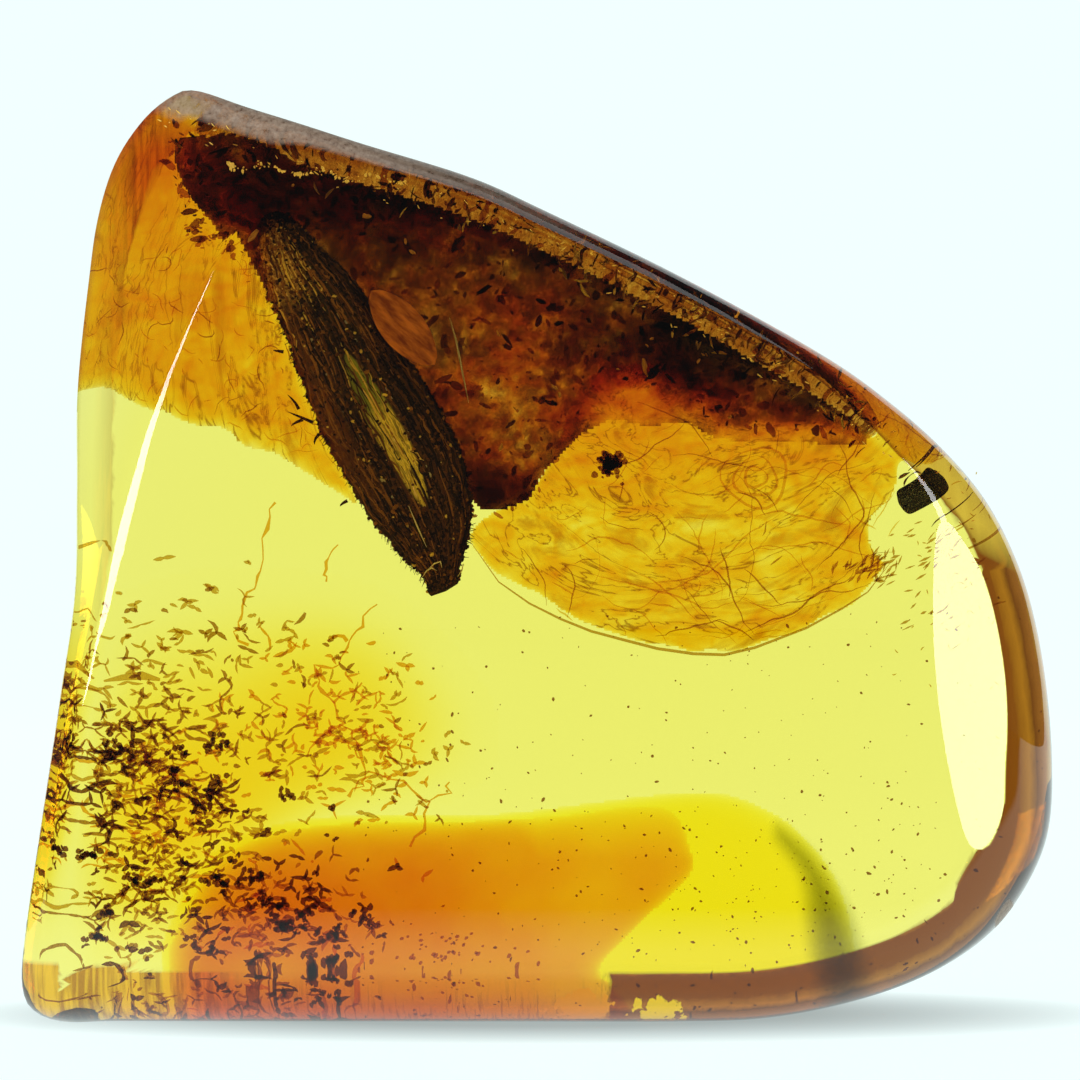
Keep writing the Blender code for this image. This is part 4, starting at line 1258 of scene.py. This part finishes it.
for x, z, turn, long in (
    (-4.42, 11.72, 2.7, 0.5), (-4.62, 11.78, 3.5, 0.35), (-4.7, 11.98, 1.9, 0.3),
    (-4.3, 11.5, 3.9, 0.3), (-5.0, 13.1, 3.0, 0.22), (-3.75, 10.2, 3.6, 0.25),
):
    bits = [Vector((x + long * s * math.cos(turn + 0.5 * s), -0.1, z + long * s * math.sin(turn)))
            for s in (0.0, 0.4, 0.75, 1.0)]
    hairs.append((0, tapered(bits, 0.035, False)))
insect_hairs = draw_strokes("insect_hairs", [hair_dark, hair_pale], hairs)
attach(insect_hairs, "root")

# The frass pellet is a short rod with six worn flutes. It is made of chewed wood pressed into
# dark grey grains, and it lies free in the resin at the right.
PELLET_PLACE = Vector((7.42, 0.0, 10.34))
PELLET_HALF = 0.45
PELLET_RADIUS = 0.26
PELLET_TILT = math.radians(30.0)
PELLET_SEGMENTS = 48
PELLET_RINGS = 32
PELLET_SEED = 4
pellet_along = Vector((math.cos(PELLET_TILT), 0.0, math.sin(PELLET_TILT)))
pellet_across = Vector((-pellet_along.z, 0.0, pellet_along.x))
noise.seed_set(PELLET_SEED)


def pellet_point(segment, ring):
    a = math.tau * segment / PELLET_SEGMENTS
    s = math.cos(math.pi * ring / PELLET_RINGS)
    along = PELLET_HALF * math.copysign(abs(s) ** 0.6, s)
    radius = PELLET_RADIUS * (1 - abs(s) ** 5) ** 0.5 * (1 + 0.05 * math.cos(6 * a))
    p = PELLET_PLACE + pellet_along * along
    p += radius * (pellet_across * math.cos(a) + Vector((0, 1, 0)) * math.sin(a))
    return p + 0.018 * noise.noise_vector(p * 7.0)


pellet = shaped_ball("frass_pellet_rod", PELLET_SEGMENTS, PELLET_RINGS, pellet_point)
pressed = Finish("pressed_frass", Roughness=0.85, IOR=1.2)
grit = pressed.grain(pressed.place(), 0.05, 3.0, 0.7)
pressed.wear(
    Base_Color=pressed.ramp(grit, (0.3, (0.02, 0.02, 0.022)), (0.7, (0.12, 0.12, 0.14))),
    Normal=pressed.bump(grit, 0.03),
)
pellet.data.materials.append(pressed.material)
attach(pellet, "root")
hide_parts("frass_pellet")

# A cloud of small plant flecks fills the lower left: curved blades, and stars of two or three.
# The lowest are nearly black and clump together, and those to the right are orange. The resin
# round them is stained gold.
HALO_OUTLINE = [
    (-9.45, 1.2), (-9.3, 4.0), (-9.0, 6.6), (-8.5, 8.2), (-6.8, 8.9), (-5.2, 8.9), (-3.6, 8.7),
    (-2.2, 8.0), (-0.9, 6.4), (-0.8, 5.0), (-1.8, 4.2), (-4.0, 3.6), (-5.4, 2.6), (-6.0, 1.4),
    (-6.6, 0.6), (-8.8, 0.5),
]


HALO_DEPTH = 1.6
HALO_STAIN = (0.993, 0.89, 0.0)
HALO_DENSITY = 4600.0


def halo_halves(x, z, depth):
    thick = 0.8 * spot(x, z, -7.6, 4.0, 2.2, 2.0) + 0.55 * spot(x, z, -4.1, 5.8, 1.7, 1.6)
    thick += 0.35 * spot(x, z, -5.6, 5.0, 2.6, 2.2)
    half = 0.4 * np.clip(thick, 0.01, 1.2) * (1 - np.exp(-((depth / 0.9) ** 2)))
    return HALO_DEPTH - half, HALO_DEPTH + 0.01 + half


halo = sealed_layer("fleck_halo", HALO_OUTLINE, 0.1, halo_halves)
halo_stain = Finish("halo_stain", IOR=1.0)
halo_stain.soak(HALO_STAIN, HALO_DENSITY)
halo.data.materials.append(halo_stain.material)
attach(halo, "root")
FLECK_TONES = [
    stain("fleck_black", (0.2, 0.09, 0.03)), stain("fleck_brown", (0.42, 0.24, 0.06)),
    stain("fleck_umber", (0.62, 0.42, 0.1)), stain("fleck_orange", (0.78, 0.45, 0.05)),
]
# Middle of each swarm (x, z), its spread, how many flecks, and the weight of each tone
FLECK_SWARMS = [
    ((-7.3, 4.3), (1.6, 1.6), 460, (1, 4, 6, 1)),
    ((-8.2, 5.2), (0.9, 1.4), 150, (2, 4, 4, 0)),
    ((-5.2, 2.1), (1.5, 0.9), 190, (3, 5, 3, 1)),
    ((-8.0, 2.2), (1.0, 0.8), 90, (2, 4, 4, 0)),
    ((-4.2, 6.0), (1.2, 1.1), 170, (0, 1, 3, 6)),
    ((-7.0, 7.4), (1.6, 1.0), 90, (0, 2, 6, 0)),
    ((-3.0, 5.0), (0.8, 0.9), 60, (0, 1, 4, 4)),
]


def fleck(rng, x, y, z, size, half, tone, arms):
    """One small curved blade, or a star of two or three of them."""
    turn = rng.gauss(0.0, 0.45) if x < -6.5 else rng.gauss(0.0, 0.9) + math.pi * rng.randint(0, 1)
    blades = []
    for k in range(arms):
        way = turn + k * (math.pi if arms == 2 else math.tau / 3) + rng.gauss(0.0, 0.35)
        bend, long = rng.gauss(0.0, 0.4), size * rng.uniform(0.5, 1.2)
        rise = rng.gauss(0.0, 0.3)
        points = [
            (x + long * s * math.cos(way + bend * s), y + long * s * rise,
             z + long * s * math.sin(way + bend * s) * 0.85)
            for s in (0.0, 0.3, 0.65, 1.0)
        ]
        spots = list(zip(points, (half * 0.6, half * 1.1, half * 0.9, half * 0.15)))
        blades.append((tone, spots))
    return blades


rng = random.Random(12)
flecks = []
for (cx, cz), (rx, rz), count, weights in FLECK_SWARMS:
    for _ in range(count):
        x, z = rng.gauss(cx, rx * 0.7), rng.gauss(cz, rz * 0.7)
        left_limit = -9.3 + max(0.0, z - 1.0) * 0.13 - (0.5 if rng.random() < 0.15 else 0.0)
        if x < left_limit or z < 1.0:
            continue
        tone = rng.choices(range(4), weights)[0]
        size = rng.uniform(0.1, 0.3)
        half = rng.uniform(0.02, 0.045) * (1.35 if tone == 0 else 1.0)
        if x < -8.4:
            size, half = size * 1.3, half * 0.9
        arms = rng.choices((1, 2, 3), (2, 4, 3))[0]
        y = rng.uniform(-1.5, 1.6)
        flecks += fleck(rng, x, y, z, size, half, tone, arms)
for cx, cz in (
    (-7.0, 5.35), (-6.4, 5.5), (-7.2, 4.9), (-6.9, 4.6), (-8.2, 5.3), (-5.0, 4.5), (-8.7, 3.3),
    (-8.0, 2.9), (-7.6, 2.8), (-8.5, 2.2), (-8.6, 1.65), (-6.6, 1.6), (-5.3, 2.4), (-5.0, 2.0),
    (-4.6, 2.1), (-4.2, 1.7), (-4.5, 1.2), (-3.9, 1.9), (-6.2, 2.8), (-5.6, 2.9), (-4.0, 1.3),
    (-6.0, 3.3), (-3.4, 2.1),
):
    y = rng.uniform(-1.0, 0.6)
    for _ in range(rng.randint(5, 11)):
        x, z = rng.gauss(cx, 0.13), rng.gauss(cz, 0.09)
        flecks += fleck(rng, x, y, z, rng.uniform(0.06, 0.16), rng.uniform(0.04, 0.07), 0, 2)
for _ in range(46):
    x, z = rng.gauss(8.0, 0.5), rng.gauss(8.6, 1.2)
    if x < 8.9:
        flecks += fleck(rng, x, rng.uniform(-1, 1), z, 0.11, 0.012, 2, 1)
leaf = [(-8.45, -0.4, 6.68), (-8.15, -0.4, 6.76), (-7.75, -0.4, 6.8), (-7.4, -0.4, 6.72)]
flecks.append((2, list(zip(leaf, (0.02, 0.06, 0.085, 0.03)))))
# Branching cracks run through the cloud, stained orange. Places are x and z.
CRACKS = [
    [(-5.15, 10.2), (-5.3, 9.7), (-5.45, 9.05), (-5.5, 8.55), (-5.75, 8.35), (-5.8, 7.9),
     (-5.95, 7.65), (-5.6, 7.3)],
    [(-3.95, 9.35), (-4.1, 9.1), (-4.2, 8.75), (-4.15, 8.6)],
    [(-3.2, 8.2), (-3.45, 7.83), (-3.7, 7.45), (-3.9, 7.0), (-4.4, 7.0), (-4.3, 6.6),
     (-4.0, 6.3), (-3.85, 5.85), (-4.35, 5.5), (-4.6, 5.05)],
    [(-4.15, 7.5), (-3.9, 7.6), (-3.7, 7.45)],
    [(-4.0, 6.3), (-3.6, 6.5), (-3.4, 6.75)],
    [(-3.85, 5.85), (-3.55, 5.55), (-3.4, 4.95), (-3.5, 4.65), (-3.9, 4.45)],
    [(-3.4, 4.95), (-2.65, 4.7), (-2.2, 4.35), (-1.8, 4.55), (-1.75, 4.85)],
    [(-2.2, 4.35), (-2.25, 3.8), (-2.7, 3.4)],
]
for crack in CRACKS:
    points = []
    for (x0, z0), (x1, z1) in zip(crack, crack[1:]):
        for s in (0.0, 0.34, 0.67):
            points.append((x0 + (x1 - x0) * s + rng.gauss(0, 0.03), -0.6,
                           z0 + (z1 - z0) * s + rng.gauss(0, 0.03)))
    spots = [(p, 0.012 + 0.035 * rng.random() ** 2) for p in points]
    flecks.append((3, spots))
plant_flecks = draw_strokes("plant_flecks", FLECK_TONES, flecks)
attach(plant_flecks, "root")

# Dust specks, most no wider than a hair, are strewn through the clear middle and right. They
# fell on the sticky resin and were sealed in at every depth.
SPECK_COUNT = 520
LOW_SPECK_COUNT = 170
rng = random.Random(40)
specks = []
for _ in range(SPECK_COUNT):
    x, z = rng.uniform(-3.6, 8.6), rng.uniform(0.9, 8.0)
    if rng.random() < 0.35:
        x, z = rng.gauss(4.5, 2.0), rng.gauss(2.6, 1.0)
    if z < 0.9 or x > 8.7 or (x > 7.6 and z < 2.2):
        continue
    size = 0.01 + 0.022 * rng.random() ** 3
    sizes = (size * rng.uniform(1.0, 2.0), size, size)
    specks.append(((x, rng.uniform(-2.5, 2.5), z), sizes, rng.uniform(0, math.pi), 1))
for _ in range(LOW_SPECK_COUNT):
    x, z = rng.gauss(-2.2, 1.0), rng.gauss(1.05, 0.4)
    if z > 0.4:
        size = rng.uniform(0.015, 0.04)
        specks.append(((x, rng.uniform(-1.5, 1.5), z), (size * 1.5, size, size), 0.4, 2))
dust_specks = scatter("dust_specks", 1, CRUMB_TONES[:3], specks)
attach(dust_specks, "root")

# The sheet under the piece is pale, and it curves up into a wall behind. It glows softly from
# just in front of the piece on, as on a light table, and less close to where the piece stands:
# a painted contact shadow.
SHEET_WIDTH = 0.32
SHEET_FRONT = -0.6
SHEET_BACK = 0.25
WALL_TOP = 0.6
WALL_BEND = 0.12
WALL_BEND_STEPS = 12
bpy.ops.object.select_all(action="DESELECT")
bpy.ops.mesh.primitive_plane_add(size=1.0)
sheet = start_piece("pale_sheet")
for vertex in sheet.data.vertices:
    back = vertex.co.y > 0
    vertex.co = (vertex.co.x * SHEET_WIDTH, SHEET_BACK if back else SHEET_FRONT, 0.0)


def raise_wall():
    bpy.ops.mesh.select_all(action="DESELECT")
    bpy.ops.object.mode_set(mode="OBJECT")
    for edge in sheet.data.edges:
        ends = [sheet.data.vertices[i].co.y for i in edge.vertices]
        edge.select = min(ends) > 0
    bpy.ops.object.mode_set(mode="EDIT")
    bpy.ops.mesh.extrude_region_move(TRANSFORM_OT_translate={"value": (0, 0, WALL_TOP)})
    bpy.ops.mesh.select_all(action="DESELECT")
    bpy.ops.object.mode_set(mode="OBJECT")
    for edge in sheet.data.edges:
        ends = [sheet.data.vertices[i].co for i in edge.vertices]
        edge.select = all(co.y > 0 and co.z == 0.0 for co in ends)
    bpy.ops.object.mode_set(mode="EDIT")
    bpy.ops.mesh.bevel(offset=WALL_BEND, segments=WALL_BEND_STEPS)


bpy.context.scene.tool_settings.mesh_select_mode = (False, True, False)
in_edit_mode(sheet, raise_wall)
bpy.ops.object.shade_smooth()
lit_sheet = Finish("lit_sheet", Roughness=0.9)
along, away = (
    lit_sheet.node("SeparateXYZ", {}, {"Vector": lit_sheet.place()}, k) for k in (0, 1)
)
# A painted contact shadow dims the glow round where the piece stands
contact_shadow = (1 - along ** 2.0 / 140.0 - away ** 2.0 / 30.0).past(0.0, 0.8)
lit = away.past(-17.0, 6.0) * (1 - contact_shadow * 0.55)
lit_sheet.wear(
    Base_Color=(0.04, 0.045, 0.045, 1),
    Emission_Color=lit_sheet.mix(lit, (0, 0, 0, 1), (0.855, 0.985, 0.975, 1)),
    Emission_Strength=1.0,
)
sheet.data.materials.append(lit_sheet.material)

# The room is dim and grey. Three soft boxes light the piece: a narrow one close at the right,
# whose reflection is the white facet, one far off at the left, and a wide one above.
world = bpy.data.worlds.new("dim_room")
bpy.context.scene.world = world
world.use_nodes = True
world.node_tree.nodes["Background"].inputs["Color"].default_value = (0.07, 0.075, 0.075, 1)

SUBJECT = Vector((0.0, 0.0, 0.009))


def soft_box(name, place, width, height, glow):
    data = bpy.data.lights.new(name, "AREA")
    data.shape = "RECTANGLE"
    data.size, data.size_y = width, height
    data.energy = glow * math.pi * width * height
    lamp = bpy.data.objects.new(name, data)
    bpy.context.scene.collection.objects.link(lamp)
    lamp.location = place
    lamp.rotation_euler = (SUBJECT - lamp.location).to_track_quat("-Z", "Y").to_euler()


soft_box("right_box", (0.0304, -0.0417, 0.012), 0.010, 0.024, 8.0)
soft_box("left_box", (-0.225, -0.24, 0.08), 0.17, 0.09, 13.0)
soft_box("top_box", (0.03, -0.16, 0.34), 0.34, 0.24, 1.6)

# The camera looks straight at the front face with a long lens, and the picture is this wide at
# the middle of the piece. Light crosses many clear layers, so it may bounce often.
FIELD_WIDTH = 0.0216
CAMERA_HEIGHT = 0.00946
LENS = 150.0
SENSOR = 36.0
camera = bpy.data.objects.new("camera", bpy.data.cameras.new("camera"))
bpy.context.scene.collection.objects.link(camera)
camera.data.lens, camera.data.sensor_width = LENS, SENSOR
camera.data.clip_start = 0.001
camera.location = (0.0, -FIELD_WIDTH * LENS / SENSOR, CAMERA_HEIGHT)
camera.rotation_euler = (math.pi / 2, 0.0, 0.0)
bpy.context.scene.camera = camera
bpy.context.scene.view_settings.view_transform = "Standard"
bpy.context.scene.cycles.transparent_max_bounces = 32
bpy.context.scene.cycles.transmission_bounces = 24
bpy.context.scene.cycles.max_bounces = 32
